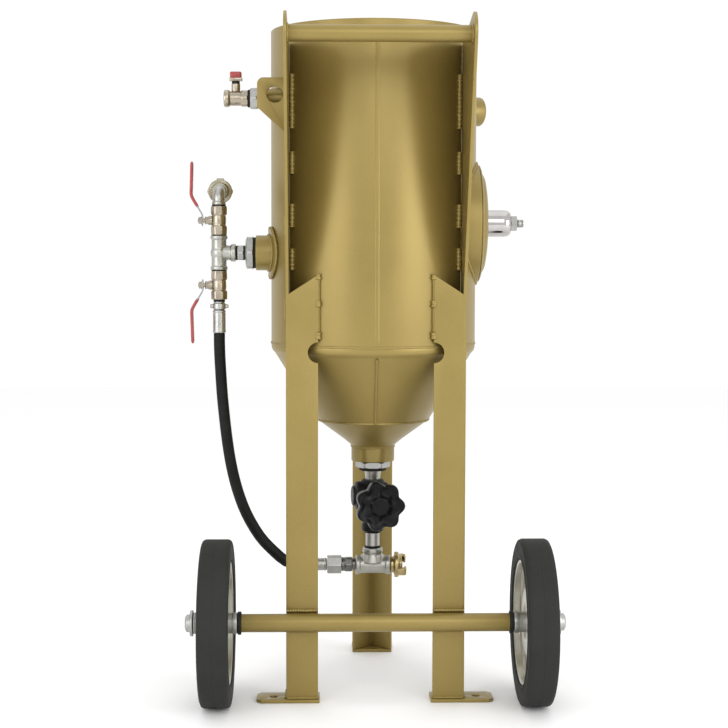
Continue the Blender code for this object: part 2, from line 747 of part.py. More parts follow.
def make_hose():
    top_end = LOWER_VALVE_Z - VALVE_HALF
    base = Vector((MANIFOLD_X, INLET_Y, 0))
    union = [
        (0.0070, 0.7361),
        (0.0112, 0.7361),
        (0.0125, 0.7380),
        (0.0125, 0.7480),
        (0.0105, 0.7500),
        (0.0105, top_end - GAP),
        (0.0070, top_end - GAP),
    ]
    nut = lathe("hose_union_nut", union, "zinc", base)
    ears = block("cut_ears", (-0.018, -0.004, 0.7395), (0.018, 0.004, 0.7465), "zinc")
    ears.location = base
    combine(nut, "UNION", ears)
    combine(nut, "DIFFERENCE", cutter(0.0070, 0.72, 0.77, base, AXIS_Z))

    ferrule = [
        (0.0070, 0),
        (0.0118, 0),
        (0.0128, 0.0020),
        (0.0128, FERRULE_LENGTH),
        (0.0070, FERRULE_LENGTH),
    ]
    ferrule_top = Vector((MANIFOLD_X, INLET_Y, 0.7358))
    lathe("hose_ferrule_top", ferrule, "zinc", ferrule_top, -AXIS_Z)
    ferrule_end = Vector((HOSE_END_X + GAP + FERRULE_LENGTH, TANK_Y, HOSE_END_Z))
    lathe("hose_ferrule_bottom", ferrule, "zinc", ferrule_end, -AXIS_X)

    route = [
        (MANIFOLD_X, INLET_Y, HOSE_TOP_Z),
        (MANIFOLD_X, INLET_Y, HOSE_TOP_Z - 0.016),
        (MANIFOLD_X + 0.0006, INLET_Y, 0.6500),
        (-0.2983, INLET_Y + 0.001, 0.6170),
        (-0.2955, INLET_Y + 0.003, 0.5705),
        (-0.2912, INLET_Y + 0.005, 0.5233),
        (-0.2859, INLET_Y + 0.008, 0.4759),
        (-0.2785, INLET_Y + 0.011, 0.4285),
        (-0.2672, INLET_Y + 0.015, 0.3809),
        (-0.2500, INLET_Y + 0.019, 0.3332),
        (-0.2240, INLET_Y + 0.024, 0.2870),
        (-0.1960, INLET_Y + 0.028, 0.2555),
        (-0.1720, INLET_Y + 0.030, 0.2350),
        (HOSE_END_X - 0.016, TANK_Y, HOSE_END_Z),
        (HOSE_END_X, TANK_Y, HOSE_END_Z),
    ]
    curve = bpy.data.curves.new("air_hose", "CURVE")
    curve.dimensions = "3D"
    curve.bevel_depth = HOSE_RADIUS
    curve.bevel_resolution = 2
    curve.use_fill_caps = True
    line = smooth_route(route, 0.028)
    spline = curve.splines.new("POLY")
    spline.points.add(len(line) - 1)
    for point, spot in zip(spline.points, line):
        point.co = (*spot, 1)
    hose = bpy.data.objects.new("air_hose", curve)
    curve.materials.append(FINISHES["hose_rubber"])
    bpy.context.scene.collection.objects.link(hose)

    centre = Vector((0, TANK_Y, HOSE_END_Z))
    swivel = ring("hose_swivel_nut", 0.0194, 0.0090, 0.0620, 0.0903, "zinc", centre, -AXIS_X, 6)
    combine(swivel, "DIFFERENCE", cutter(0.0090, 0.05, 0.10, centre, -AXIS_X, FINE_STEPS))
    adaptor = [
        (0.0080, 0.0340),
        (0.0115, 0.0340),
        (0.0115, 0.0404),
        (0.0150, 0.0408),
        (0.0150, 0.0600),
        (0.0130, 0.0613),
        (0.0130, 0.0617),
        (0.0080, 0.0617),
    ]
    lathe("hose_adaptor", adaptor, "zinc", centre, -AXIS_X, ROUND_STEPS)


def make_exhaust():
    centre = Vector((0, EXHAUST_Y, EXHAUST_Z))
    boss = cutter(0.0190, 0.150, 0.2230, centre, -AXIS_X)
    boss.name = "exhaust_boss"
    boss.data.materials[0] = FINISHES["gold_paint"]
    combine(boss, "DIFFERENCE", tank_cylinder(GAP), cutter(0.0110, 0.10, 0.30, centre, -AXIS_X))
    bushing = [
        (0.0070, 0.2233),
        (0.0218, 0.2233),
        (0.0218, 0.2366),
        (0.0155, 0.2368),
        (0.0155, EXHAUST_VALVE_X - 0.0230),
        (0.0070, EXHAUST_VALVE_X - 0.0230),
    ]
    lathe("exhaust_bushing", bushing, "zinc", centre, -AXIS_X)

    spot = centre + Vector((-EXHAUST_VALVE_X, 0, 0))
    outer = [
        (0.0162, -0.0227),
        (0.0162, -0.0110),
        (0.0140, -0.0095),
        (0.0140, 0.0095),
        (0.0125, 0.0110),
        (0.0155, 0.0130),
        (0.0155, 0.0227),
    ]
    hollow = arc((0, 0), BALL_RADIUS + 0.0012, 52, -52, 7)
    inside = [(VALVE_BORE, 0.0227)] + hollow + [(VALVE_BORE, -0.0227)]
    body = lathe("exhaust_valve_body", outer + inside, "nickel", spot, -AXIS_X, FINE_STEPS)
    combine(body, "UNION", cutter(0.0070, 0.0120, 0.0240, spot, AXIS_Z, FINE_STEPS))
    combine(body, "DIFFERENCE", cutter(0.0050, 0.0050, 0.0400, spot, AXIS_Z, FINE_STEPS))

    handle = valve_ball("exhaust_handle", spot, AXIS_X, AXIS_Z, 0.0280, 0.0330)
    handle.data.materials[0] = FINISHES["red_grip"]
    plate = block("cut_plate", (-0.0150, -0.0060, 0.0310), (0.0150, 0.0060, 0.0370), "zinc")
    plate.location = spot
    grip = block("cut_grip", (-0.0112, -0.0075, 0.0360), (0.0112, 0.0075, 0.0505), "red_grip")
    grip.location = spot
    combine(handle, "UNION", plate, grip)

    corner = arc((-0.2104, 1.1616), 0.012, 180, 90, 5)
    outline = [(-0.2224, 1.1186)] + corner + [(-LEG_X - GAP, 1.1736), (-LEG_X - GAP, 1.0690)]
    back = BRACKET_Y + BRACKET_THICKNESS
    bracket = slab("exhaust_bracket", outline, BRACKET_Y, back, "gold_paint", "XZ")
    hole = (-0.1887, BRACKET_Y, 1.142)
    combine(bracket, "DIFFERENCE", cutter(BRACKET_HOLE_RADIUS, -0.02, 0.02, hole, AXIS_Y))


def make_outlet():
    axis = Vector((0, TANK_Y, 0))
    bushing = [
        (0.0130, 0.3995),
        (0.0173, 0.3995),
        (0.0173, 0.4140),
        (0.0280, 0.4160),
        (0.0280, 0.4192),
        (0.0343, 0.4194),
        (0.0343, 0.4354),
        (0.0240, 0.4354),
        (0.0240, 0.4550),
        (0.0130, 0.4550),
    ]
    lathe("outlet_bushing", bushing, "zinc", axis)

    core = rod("metering_body", 0.0235, 0.2960, 0.3990, "black_iron", axis)
    centre = axis + Vector((0, 0, METERING_Z))
    barrel = [
        (0, -0.0300),
        (0.0240, -0.0300),
        (0.0275, -0.0240),
        (0.0280, 0.0330),
        (0.0220, 0.0405),
        (0, 0.0415),
    ]
    side = Vector((-math.cos(METERING_TURN), -math.sin(METERING_TURN), 0))
    housing = lathe("cut_housing", barrel, "black_iron", centre + Vector((0, 0, 0.0090)), side)
    bonnet = cutter(0.0180, 0, 0.0560, centre, KNOB_AXIS)
    combine(core, "UNION", housing, bonnet)
    combine(
        core,
        "DIFFERENCE",
        cutter(0.0130, 0.28, 0.42, axis),
        cutter(0.0115, 0, 0.030, centre, KNOB_AXIS, FINE_STEPS),
        cutter(0.0078, 0, 0.07, centre, KNOB_AXIS, FINE_STEPS),
    )

    spindle = [
        (0, -0.0090),
        (0.0105, -0.0040),
        (0.0105, 0.0020),
        (0.0062, 0.0040),
        (0.0062, 0.0740),
        (0, 0.0740),
    ]
    lathe("metering_spindle", spindle, "zinc", centre, KNOB_AXIS, FINE_STEPS)
    make_knob(centre)

    ring("lower_nipple", 0.0138, 0.0105, 0.2635, 0.2957, "zinc", axis)
    hub = axis + Vector((0, 0, OUTLET_TEE_Z))
    wide = OUTLET_TEE_RADIUS
    neck = 0.0170
    run = [
        (0, -0.0337),
        (wide, -0.0337),
        (wide, -0.0250),
        (neck, -0.0238),
        (neck, 0.0238),
        (wide, 0.0250),
        (wide, 0.0354),
        (0, 0.0354),
    ]
    tee = lathe("outlet_tee", run, "zinc", hub, AXIS_X)
    branch = [(0, 0), (0.0168, 0), (0.0168, 0.0240), (0.0200, 0.0255), (0.0200, 0.0351), (0, 0.0351)]
    combine(tee, "UNION", lathe("cut_branch", branch, "zinc", hub))
    combine(tee, "DIFFERENCE", cutter(0.0125, -0.05, 0.05, hub, AXIS_X), cutter(0.0118, 0, 0.05, hub))
    claw_coupling("blast_coupling", hub + Vector((0.0357, 0, 0)), AXIS_X, 0.0255, 0.0120)


def make_knob(centre):
    """Seven-lobed rosette with a blind bore for the spindle."""
    lobes = 7
    count = lobes * 6
    outline = []
    for i in range(count):
        angle = 2 * math.pi * i / count
        swell = 0.5 + 0.5 * math.cos(lobes * angle)
        radius = KNOB_RADIUS * (0.83 + 0.17 * swell**0.75)
        outline.append((radius * math.cos(angle), radius * math.sin(angle)))
    knob = slab("metering_knob", outline, KNOB_NEAR, KNOB_FAR, "black_plastic", "XY", 0.004)
    knob.location = centre
    knob.rotation_quaternion = turn_to(KNOB_AXIS)
    hub = cutter(0.0150, 0.0565, KNOB_NEAR + 0.004, centre, KNOB_AXIS)
    combine(knob, "UNION", hub)
    combine(knob, "DIFFERENCE", cutter(0.0068, 0.05, 0.0840, centre, KNOB_AXIS, FINE_STEPS))


clear_scene()
FINISHES = make_finishes()
make_tank()
make_side_frames()
make_rear_leg()
make_feet()
make_axle()
make_handhole()
make_manifold()
make_hose()
make_exhaust()
make_outlet()
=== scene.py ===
import json
import re
from math import cos, pi, radians, sin, sqrt

import bmesh
import bpy
from mathutils import Matrix, Vector


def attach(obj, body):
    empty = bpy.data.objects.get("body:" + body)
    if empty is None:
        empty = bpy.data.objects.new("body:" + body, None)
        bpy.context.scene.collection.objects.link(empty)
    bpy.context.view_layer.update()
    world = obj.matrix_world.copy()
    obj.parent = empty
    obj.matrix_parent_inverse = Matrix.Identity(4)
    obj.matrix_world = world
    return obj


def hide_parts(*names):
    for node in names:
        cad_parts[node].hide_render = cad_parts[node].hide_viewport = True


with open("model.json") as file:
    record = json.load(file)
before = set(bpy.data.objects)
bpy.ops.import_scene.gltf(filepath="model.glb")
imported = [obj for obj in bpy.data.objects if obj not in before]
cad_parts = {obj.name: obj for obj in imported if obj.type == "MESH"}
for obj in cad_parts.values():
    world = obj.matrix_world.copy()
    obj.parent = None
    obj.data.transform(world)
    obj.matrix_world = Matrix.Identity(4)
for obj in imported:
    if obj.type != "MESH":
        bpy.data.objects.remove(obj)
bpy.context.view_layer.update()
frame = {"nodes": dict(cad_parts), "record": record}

# Places that several pieces share, in metres
tankY = 0.0465
inletY = tankY - 0.030
tankRadius = 0.200
legFrontY = tankY - 0.176
xWay = Vector((1, 0, 0))
yWay = Vector((0, 1, 0))
zWay = Vector((0, 0, 1))
origin = Vector((0, 0, 0))
tankAxis = Vector((0, tankY, 0))


# Small makers that every piece uses

def placing(at, way=zWay):
    toward = Vector(way).normalized()
    side = xWay if abs(toward.z) > 0.999 else zWay.cross(toward).normalized()
    turn = Matrix((side, toward.cross(side), toward)).transposed().to_4x4()
    return Matrix.Translation(at) @ turn


def pieceOf(mesh, name, finish, sharpAngle=35):
    for polygon in mesh.polygons:
        polygon.use_smooth = True
    mesh.set_sharp_from_angle(angle=radians(sharpAngle))
    mesh.materials.clear()
    mesh.materials.append(finish)
    thing = bpy.data.objects.new(name, mesh)
    bpy.context.scene.collection.objects.link(thing)
    return thing


def pieceFrom(bm, name, finish, sharpAngle=35):
    bmesh.ops.remove_doubles(bm, verts=bm.verts, dist=2e-6)
    bmesh.ops.recalc_face_normals(bm, faces=bm.faces)
    mesh = bpy.data.meshes.new(name)
    bm.to_mesh(mesh)
    bm.free()
    return pieceOf(mesh, name, finish, sharpAngle)


def settle(thing, sharpAngle=35):
    # modifiers become plain mesh, and the object keeps its materials
    bpy.context.view_layer.update()
    seen = thing.evaluated_get(bpy.context.evaluated_depsgraph_get())
    mesh = bpy.data.meshes.new_from_object(seen)
    thing.modifiers.clear()
    thing.data = mesh
    for polygon in mesh.polygons:
        polygon.use_smooth = True
    mesh.set_sharp_from_angle(angle=radians(sharpAngle))
    return thing


def mm(*pairs):
    return [(first / 1000, second / 1000) for first, second in pairs]


def soften(profile, radius, pieces=3):
    # rounds every corner of a closed outline, apart from those on the tankAxis
    rounded = []
    count = len(profile)
    for i in range(count):
        here = Vector(profile[i])
        before = Vector(profile[i - 1])
        after = Vector(profile[(i + 1) % count])
        if abs(here.x) < 1e-7 or radius <= 0:
            rounded.append(tuple(here))
            continue
        reach = min(radius, 0.45 * (before - here).length, 0.45 * (after - here).length)
        first = here + (before - here).normalized() * reach
        last = here + (after - here).normalized() * reach
        for k in range(pieces + 1):
            t = k / pieces
            rounded.append(tuple((1 - t) ** 2 * first + 2 * t * (1 - t) * here + t * t * last))
    return rounded


def skin(bm, pairs, steps):
    # faces between rings of points, where a ring of one point closes the shape
    for low, high in pairs:
        if len(low) == 1 and len(high) == 1:
            continue
        for k in range(steps):
            n = (k + 1) % steps
            if len(low) == 1:
                bm.faces.new((low[0], high[k], high[n]))
            elif len(high) == 1:
                bm.faces.new((low[k], low[n], high[0]))
            else:
                bm.faces.new((low[k], low[n], high[n], high[k]))


def turned(name, profile, finish, at=origin, way=zWay, steps=64, edge=0.0005, flats=()):
    # flats holds (sides, across, low, high): between those heights the piece is milled flat
    outline = soften(profile, edge)
    bm = bmesh.new()
    place = placing(at, way)
    rings = []
    for radius, height in outline:
        if radius < 1e-7:
            rings.append([bm.verts.new(place @ Vector((0, 0, height)))])
            continue
        row = []
        for k in range(steps):
            angle = 2 * pi * k / steps
            reach = radius
            for sides, across, low, high in flats:
                if low <= height <= high:
                    step = 2 * pi / sides
                    reach = min(reach, across / cos((angle % step) - step / 2))
            row.append(bm.verts.new(place @ Vector((reach * cos(angle), reach * sin(angle), height))))
        rings.append(row)
    skin(bm, zip(rings, rings[1:] + rings[:1]), steps)
    return pieceFrom(bm, name, finish)


def tube(name, outer, inner, start, end, finish, at=origin, way=zWay, steps=64, edge=0.0005, flats=()):
    profile = [(inner, start), (outer, start), (outer, end), (inner, end)]
    return turned(name, profile, finish, at, way, steps, edge, flats)


def bar(name, radius, start, end, finish, at=origin, way=zWay, steps=64, edge=0.0005, flats=()):
    profile = [(0, start), (radius, start), (radius, end), (0, end)]
    return turned(name, profile, finish, at, way, steps, edge, flats)


def drill(radius, start, end, at, way, steps):
    return bar("hole", radius, start, end, sealRubber, at, way, steps, 0)


def prism(name, outline, near, far, finish, plane="XY", edge=0.0006):
    spots = {
        "XY": lambda u, v, w: (u, v, w),
        "XZ": lambda u, v, w: (u, w, v),
        "YZ": lambda u, v, w: (w, u, v),
    }[plane]
    bm = bmesh.new()
    bottom = [bm.verts.new(spots(u, v, near)) for u, v in outline]
    top = [bm.verts.new(spots(u, v, far)) for u, v in outline]
    bm.faces.new(bottom)
    bm.faces.new(top)
    for i in range(len(outline)):
        n = (i + 1) % len(outline)
        bm.faces.new((bottom[i], bottom[n], top[n], top[i]))
    thing = pieceFrom(bm, name, finish)
    if edge:
        roundEdges(thing, edge)
    return thing


def roundEdges(thing, width, segments=2, angle=32):
    bevel = thing.modifiers.new("roundEdges", "BEVEL")
    bevel.width = width
    bevel.segments = segments
    bevel.limit_method = "ANGLE"
    bevel.angle_limit = radians(angle)
    bevel.use_clamp_overlap = True
    return settle(thing)


def block(name, low, high, finish, edge=0.0008):
    outline = [(low[0], low[1]), (high[0], low[1]), (high[0], high[1]), (low[0], high[1])]
    return prism(name, outline, low[2], high[2], finish, "XY", edge)


def moved(thing, place):
    thing.data.transform(place)
    thing.data.update()
    return thing


def carve(thing, operation, *others, sharpAngle=35):
    for other in others:
        change = thing.modifiers.new("carve", "BOOLEAN")
        change.operation = operation
        change.solver = "EXACT"
        change.object = other
    settle(thing, sharpAngle)
    for other in others:
        bpy.data.objects.remove(other, do_unlink=True)
    return thing


def joined(name, things, finish=None):
    bm = bmesh.new()
    materials = []
    for thing in things:
        first = len(bm.faces)
        bm.from_mesh(thing.data)
        bm.faces.ensure_lookup_table()
        material = thing.data.materials[0]
        if material not in materials:
            materials.append(material)
        for face in bm.faces[first:]:
            face.material_index = materials.index(material)
        bpy.data.objects.remove(thing, do_unlink=True)
    mesh = bpy.data.meshes.new(name)
    bm.to_mesh(mesh)
    bm.free()
    made = pieceOf(mesh, name, finish or materials[0])
    if finish is None:
        for material in materials[1:]:
            mesh.materials.append(material)
    return made


def cast(name, things, finish, voxel=0.0009, relax=4):
    # separate closed shapes melt into one casting with small fillets where they meet
    made = joined(name, things, finish)
    grid = made.modifiers.new("grid", "REMESH")
    grid.mode = "VOXEL"
    grid.voxel_size = voxel
    ease = made.modifiers.new("ease", "SMOOTH")
    ease.factor = 0.5
    ease.iterations = relax
    return settle(made, 60)


def arc(centre, radius, first, last, count):
    angles = [radians(first + (last - first) * i / (count - 1)) for i in range(count)]
    return [(centre[0] + radius * cos(a), centre[1] + radius * sin(a)) for a in angles]


def smoothRoute(route, spacing):
    stops = [Vector(stop) for stop in route]
    stops = [2 * stops[0] - stops[1]] + stops + [2 * stops[-1] - stops[-2]]
    line = []
    for a, b, c, d in zip(stops, stops[1:], stops[2:], stops[3:]):
        pieces = max(1, round((c - b).length / spacing))
        for i in range(pieces):
            t = i / pieces
            square = (2 * a - 5 * b + 4 * c - d) * t**2
            cube = (3 * b - a - 3 * c + d) * t**3
            line.append(0.5 * (2 * b + (c - a) * t + square + cube))
    line.append(stops[-2])
    return line


def swept(name, line, section, finish, sizes=None, side=None, cap=True):
    # a closed section of (u, v) points follows the line, and its map runs round and along in metres
    bm = bmesh.new()
    wrap = bm.loops.layers.uv.new("along")
    rows = []
    run = 0.0
    runs = []
    for i, spot in enumerate(line):
        before = line[max(i - 1, 0)]
        after = line[min(i + 1, len(line) - 1)]
        along = (after - before).normalized()
        side = along.orthogonal() if side is None else side
        side = (side - along * side.dot(along)).normalized()
        third = along.cross(side)
        size = sizes[i] if sizes else 1.0
        rows.append([bm.verts.new(spot + size * (u * side + v * third)) for u, v in section])
        run += (spot - before).length
        runs.append(run)
    count = len(section)
    around = [0.0]
    for i in range(count):
        step = (Vector(section[(i + 1) % count]) - Vector(section[i])).length
        around.append(around[-1] + step)
    for i in range(len(rows) - 1):
        for k in range(count):
            n = (k + 1) % count
            face = bm.faces.new((rows[i][k], rows[i][n], rows[i + 1][n], rows[i + 1][k]))
            corners = ((k, i), (k + 1, i), (k + 1, i + 1), (k, i + 1))
            for loop, (u, v) in zip(face.loops, corners):
                loop[wrap].uv = (around[u], runs[v])
    if cap:
        bm.faces.new(rows[0])
        bm.faces.new(rows[-1])
    return pieceFrom(bm, name, finish)


def circleOf(radius, count):
    return [(radius * cos(2 * pi * k / count), radius * sin(2 * pi * k / count)) for k in range(count)]


# Material makers

def add(tree, kind, inputs=None, **settings):
    node = tree.nodes.new(kind)
    for key, value in settings.items():
        setattr(node, key, value)
    for key, value in (inputs or {}).items():
        if isinstance(value, bpy.types.NodeSocket):
            tree.links.new(value, node.inputs[key])
        else:
            node.inputs[key].default_value = value
    return node


def take(tree, kind, inputs=None, **settings):
    return add(tree, kind, inputs, **settings).outputs[0]


def sumUp(tree, operation, first, second=0.0, third=0.0):
    return take(tree, "ShaderNodeMath", {0: first, 1: second, 2: third}, operation=operation)


def noiseOf(tree, where, scale, detail=2.0, roughness=0.5):
    look = {"Vector": where, "Scale": scale, "Detail": detail, "Roughness": roughness}
    return add(tree, "ShaderNodeTexNoise", look).outputs["Fac"]


def spread(tree, value, low, high, toLow, toHigh):
    ends = {"Value": value, "From Min": low, "From Max": high, "To Min": toLow, "To Max": toHigh}
    return take(tree, "ShaderNodeMapRange", ends)


def mixed(tree, factor, first, second, blend="MIX"):
    made = add(tree, "ShaderNodeMix", data_type="RGBA", blend_type=blend)
    for key, value in ((0, factor), (6, first), (7, second)):
        if isinstance(value, bpy.types.NodeSocket):
            tree.links.new(value, made.inputs[key])
        else:
            made.inputs[key].default_value = value if key == 0 else (*value, 1)
    return made.outputs[2]


slotOf, finishOf = {}, {}


def offer(material, slot):
    # a piece takes its slot from its finish, and a slot's first finish dresses the plain CAD parts
    slotOf[material.name] = slot
    finishOf.setdefault(slot, material)
    return material


def metalFinish(name, slot, look):
    # one recipe for paint, plating and castings: patches of colour, fine grain, uneven gloss and bump
    plain = {"stain": 0, "specular": 0.5, "coat": 0, "coatRough": 0.1, "peel": 0, "bumpDepth": 0.0003}
    look = dict(plain, **look)
    material = bpy.data.materials.new(name)
    material.use_nodes = True
    tree = material.node_tree
    shader = tree.nodes["Principled BSDF"]
    where = add(tree, "ShaderNodeTexCoord").outputs["Object"]
    patches = noiseOf(tree, where, look["patchScale"], 4, 0.6)
    grain = noiseOf(tree, where, look["grainScale"], 2, 0.6)
    tone = mixed(tree, spread(tree, patches, 0.35, 0.65, 0, 1), look["dark"], look["light"])
    tone = mixed(tree, spread(tree, grain, 0.3, 0.7, 0, look["grain"]), tone, look["fleck"])
    if look["stain"]:
        blots = noiseOf(tree, where, look["stainScale"], 6, 0.7)
        tone = mixed(tree, spread(tree, blots, 0.55, 0.75, 0, look["stain"]), tone, look["stainTone"])
    tree.links.new(tone, shader.inputs["Base Color"])
    tree.links.new(spread(tree, patches, 0.3, 0.7, *look["rough"]), shader.inputs["Roughness"])
    shader.inputs["Metallic"].default_value = look["metallic"]
    shader.inputs["Specular IOR Level"].default_value = look["specular"]
    shader.inputs["Coat Weight"].default_value = look["coat"]
    shader.inputs["Coat Roughness"].default_value = look["coatRough"]
    skin = noiseOf(tree, where, look["bumpScale"], 3, 0.55)
    bump = {"Height": skin, "Strength": look["bump"], "Distance": look["bumpDepth"]}
    normal = take(tree, "ShaderNodeBump", bump)
    if look["peel"]:
        wave = noiseOf(tree, where, look["peelScale"], 1, 0.4)
        bump = {"Height": wave, "Strength": look["peel"], "Distance": look["peelDepth"], "Normal": normal}
        normal = take(tree, "ShaderNodeBump", bump)
    tree.links.new(normal, shader.inputs["Normal"])
    material.diffuse_color = (*look["light"], 1)
    return offer(material, slot)


goldPaint = metalFinish("goldPaint", "gold_paint", {
    "dark": (0.220, 0.158, 0.038), "light": (0.262, 0.190, 0.052), "fleck": (0.35, 0.275, 0.095),
    "patchScale": 3.2, "grainScale": 900, "grain": 0.30, "rough": (0.34, 0.42), "metallic": 0.50,
    "coat": 0.06, "coatRough": 0.30, "bumpScale": 520, "bump": 0.10, "bumpDepth": 0.0004,
    "peelScale": 46, "peel": 0.06, "peelDepth": 0.002,
})
zincLook = {
    "dark": (0.34, 0.34, 0.33), "light": (0.44, 0.44, 0.42), "fleck": (0.54, 0.54, 0.52),
    "patchScale": 42, "grainScale": 600, "grain": 0.25, "rough": (0.28, 0.42), "metallic": 0.95,
    "bumpScale": 420, "bump": 0.12, "stain": 0.22, "stainScale": 70, "stainTone": (0.24, 0.235, 0.21),
}
zincPlate = metalFinish("zincPlate", "zinc", zincLook)
castZinc = metalFinish("castZinc", "zinc", dict(
    zincLook, dark=(0.34, 0.34, 0.31), light=(0.44, 0.435, 0.40), rough=(0.30, 0.46), bump=0.26, bumpScale=300))
agedZinc = metalFinish("agedZinc", "zinc", dict(
    zincLook, dark=(0.13, 0.13, 0.125), light=(0.20, 0.20, 0.19), fleck=(0.28, 0.28, 0.26)))
leverSteel = metalFinish("leverSteel", "zinc", dict(
    zincLook, dark=(0.24, 0.26, 0.27), light=(0.34, 0.36, 0.38), rough=(0.24, 0.36), stain=0.15))
nickelPlate = metalFinish("nickelPlate", "nickel", {
    "dark": (0.33, 0.285, 0.22), "light": (0.42, 0.37, 0.29), "fleck": (0.52, 0.47, 0.39),
    "patchScale": 60, "grainScale": 700, "grain": 0.2, "rough": (0.24, 0.36), "metallic": 1.0,
    "bumpScale": 500, "bump": 0.14, "stain": 0.2, "stainScale": 60, "stainTone": (0.23, 0.18, 0.12),
})
chromePlate = metalFinish("chromePlate", "chrome", {
    "dark": (0.42, 0.40, 0.385), "light": (0.50, 0.48, 0.465), "fleck": (0.60, 0.585, 0.57),
    "patchScale": 30, "grainScale": 800, "grain": 0.15, "rough": (0.05, 0.10), "metallic": 1.0,
    "bumpScale": 700, "bump": 0.02, "bumpDepth": 0.0002,
})
brassLook = {
    "dark": (0.36, 0.27, 0.12), "light": (0.50, 0.40, 0.20), "fleck": (0.62, 0.53, 0.32),
    "patchScale": 70, "grainScale": 700, "grain": 0.25, "rough": (0.24, 0.38), "metallic": 1.0,
    "bumpScale": 420, "bump": 0.18, "stain": 0.3, "stainScale": 120, "stainTone": (0.20, 0.13, 0.05),
}
castBrass = metalFinish("castBrass", "brass", brassLook)
agedBrass = metalFinish("agedBrass", "brass", dict(
    brassLook, dark=(0.27, 0.245, 0.17), light=(0.37, 0.345, 0.26), fleck=(0.48, 0.46, 0.38)))
wheelPaint = metalFinish("wheelPaint", "wheel_steel", {
    "dark": (0.30, 0.29, 0.23), "light": (0.42, 0.41, 0.34), "fleck": (0.56, 0.55, 0.48),
    "patchScale": 18, "grainScale": 1100, "grain": 0.4, "rough": (0.26, 0.36), "metallic": 0.75,
    "coat": 0.2, "coatRough": 0.2, "bumpScale": 600, "bump": 0.08,
})
blackIron = metalFinish("blackIron", "black_iron", {
    "dark": (0.006, 0.006, 0.006), "light": (0.012, 0.012, 0.012), "fleck": (0.026, 0.026, 0.026),
    "patchScale": 40, "grainScale": 500, "grain": 0.3, "rough": (0.32, 0.48), "metallic": 0.1,
    "bumpScale": 260, "bump": 0.35, "bumpDepth": 0.0005, "specular": 0.16,
})
knobPlastic = metalFinish("knobPlastic", "black_plastic", {
    "dark": (0.003, 0.003, 0.0032), "light": (0.006, 0.006, 0.0063), "fleck": (0.013, 0.013, 0.013),
    "patchScale": 50, "grainScale": 900, "grain": 0.25, "rough": (0.24, 0.38), "metallic": 0,
    "bumpScale": 600, "bump": 0.12, "specular": 0.13,
})
redDip = metalFinish("redDip", "red_grip", {
    "dark": (0.26, 0.022, 0.022), "light": (0.34, 0.035, 0.032), "fleck": (0.46, 0.09, 0.08),
    "patchScale": 60, "grainScale": 900, "grain": 0.2, "rough": (0.30, 0.42), "metallic": 0,
    "coat": 0.15, "coatRough": 0.25, "bumpScale": 300, "bump": 0.10,
})
sealRubber = metalFinish("sealRubber", "black_rubber", {
    "dark": (0.007, 0.007, 0.0065), "light": (0.014, 0.014, 0.013), "fleck": (0.028, 0.028, 0.028),
    "patchScale": 60, "grainScale": 900, "grain": 0.3, "rough": (0.55, 0.72), "metallic": 0,
    "bumpScale": 700, "bump": 0.2, "specular": 0.2,
})
tyreRubber = metalFinish("tyreRubber", "tyre_rubber", {
    "dark": (0.011, 0.0115, 0.010), "light": (0.018, 0.0185, 0.0165), "fleck": (0.036, 0.037, 0.034),
    "patchScale": 16, "grainScale": 1000, "grain": 0.5, "rough": (0.62, 0.80), "metallic": 0,
    "bumpScale": 650, "bump": 0.35, "bumpDepth": 0.0004, "specular": 0.18,
})


def hoseFinish():
    # cloth impression of the wrapped cover, laid out on the hose's own map
    look = {
        "cover": (0.0055, 0.0055, 0.0052), "worn": (0.013, 0.0125, 0.012), "threads": 620, "rough": (0.42, 0.6),
        "weave": 0.25, "weaveDepth": 0.0003, "specular": 0.15,
    }
    material = bpy.data.materials.new("hoseCover")
    material.use_nodes = True
    tree = material.node_tree
    shader = tree.nodes["Principled BSDF"]
    where = add(tree, "ShaderNodeUVMap", uv_map="along").outputs["UV"]
    place = add(tree, "ShaderNodeTexCoord").outputs["Object"]
    cuff = noiseOf(tree, place, 35, 5, 0.65)
    tone = mixed(tree, spread(tree, cuff, 0.45, 0.75, 0, 1), look["cover"], look["worn"])
    tree.links.new(tone, shader.inputs["Base Color"])
    tree.links.new(spread(tree, cuff, 0.3, 0.7, *look["rough"]), shader.inputs["Roughness"])
    waves = []
    for direction in "XY":
        wave = {"Vector": where, "Scale": look["threads"] / 6.283}
        waves.append(add(tree, "ShaderNodeTexWave", wave, bands_direction=direction).outputs["Fac"])
    cloth = sumUp(tree, "MULTIPLY", *waves)
    bump = {"Height": cloth, "Strength": look["weave"], "Distance": look["weaveDepth"]}
    tree.links.new(take(tree, "ShaderNodeBump", bump), shader.inputs["Normal"])
    shader.inputs["Specular IOR Level"].default_value = look["specular"]
    return offer(material, "hose_rubber")


hoseCover = hoseFinish()
print("materials ready")


# Geometry Nodes trees

def newTree(name, sockets):
    tree = bpy.data.node_groups.new(name, "GeometryNodeTree")
    tree.interface.new_socket("Geometry", in_out="INPUT", socket_type="NodeSocketGeometry")
    for label, kind, value in sockets:
        made = tree.interface.new_socket(label, in_out="INPUT", socket_type="NodeSocket" + kind)
        if value is not None:
            made.default_value = value
    tree.interface.new_socket("Geometry", in_out="OUTPUT", socket_type="NodeSocketGeometry")
    return tree, tree.nodes.new("NodeGroupInput").outputs, tree.nodes.new("NodeGroupOutput")


def closeTree(tree, given, last, output):
    real = take(tree, "GeometryNodeRealizeInstances", {"Geometry": last})
    coloured = take(tree, "GeometryNodeSetMaterial", {"Geometry": real, "Material": given["Material"]})
    tree.links.new(coloured, output.inputs[0])
    return tree


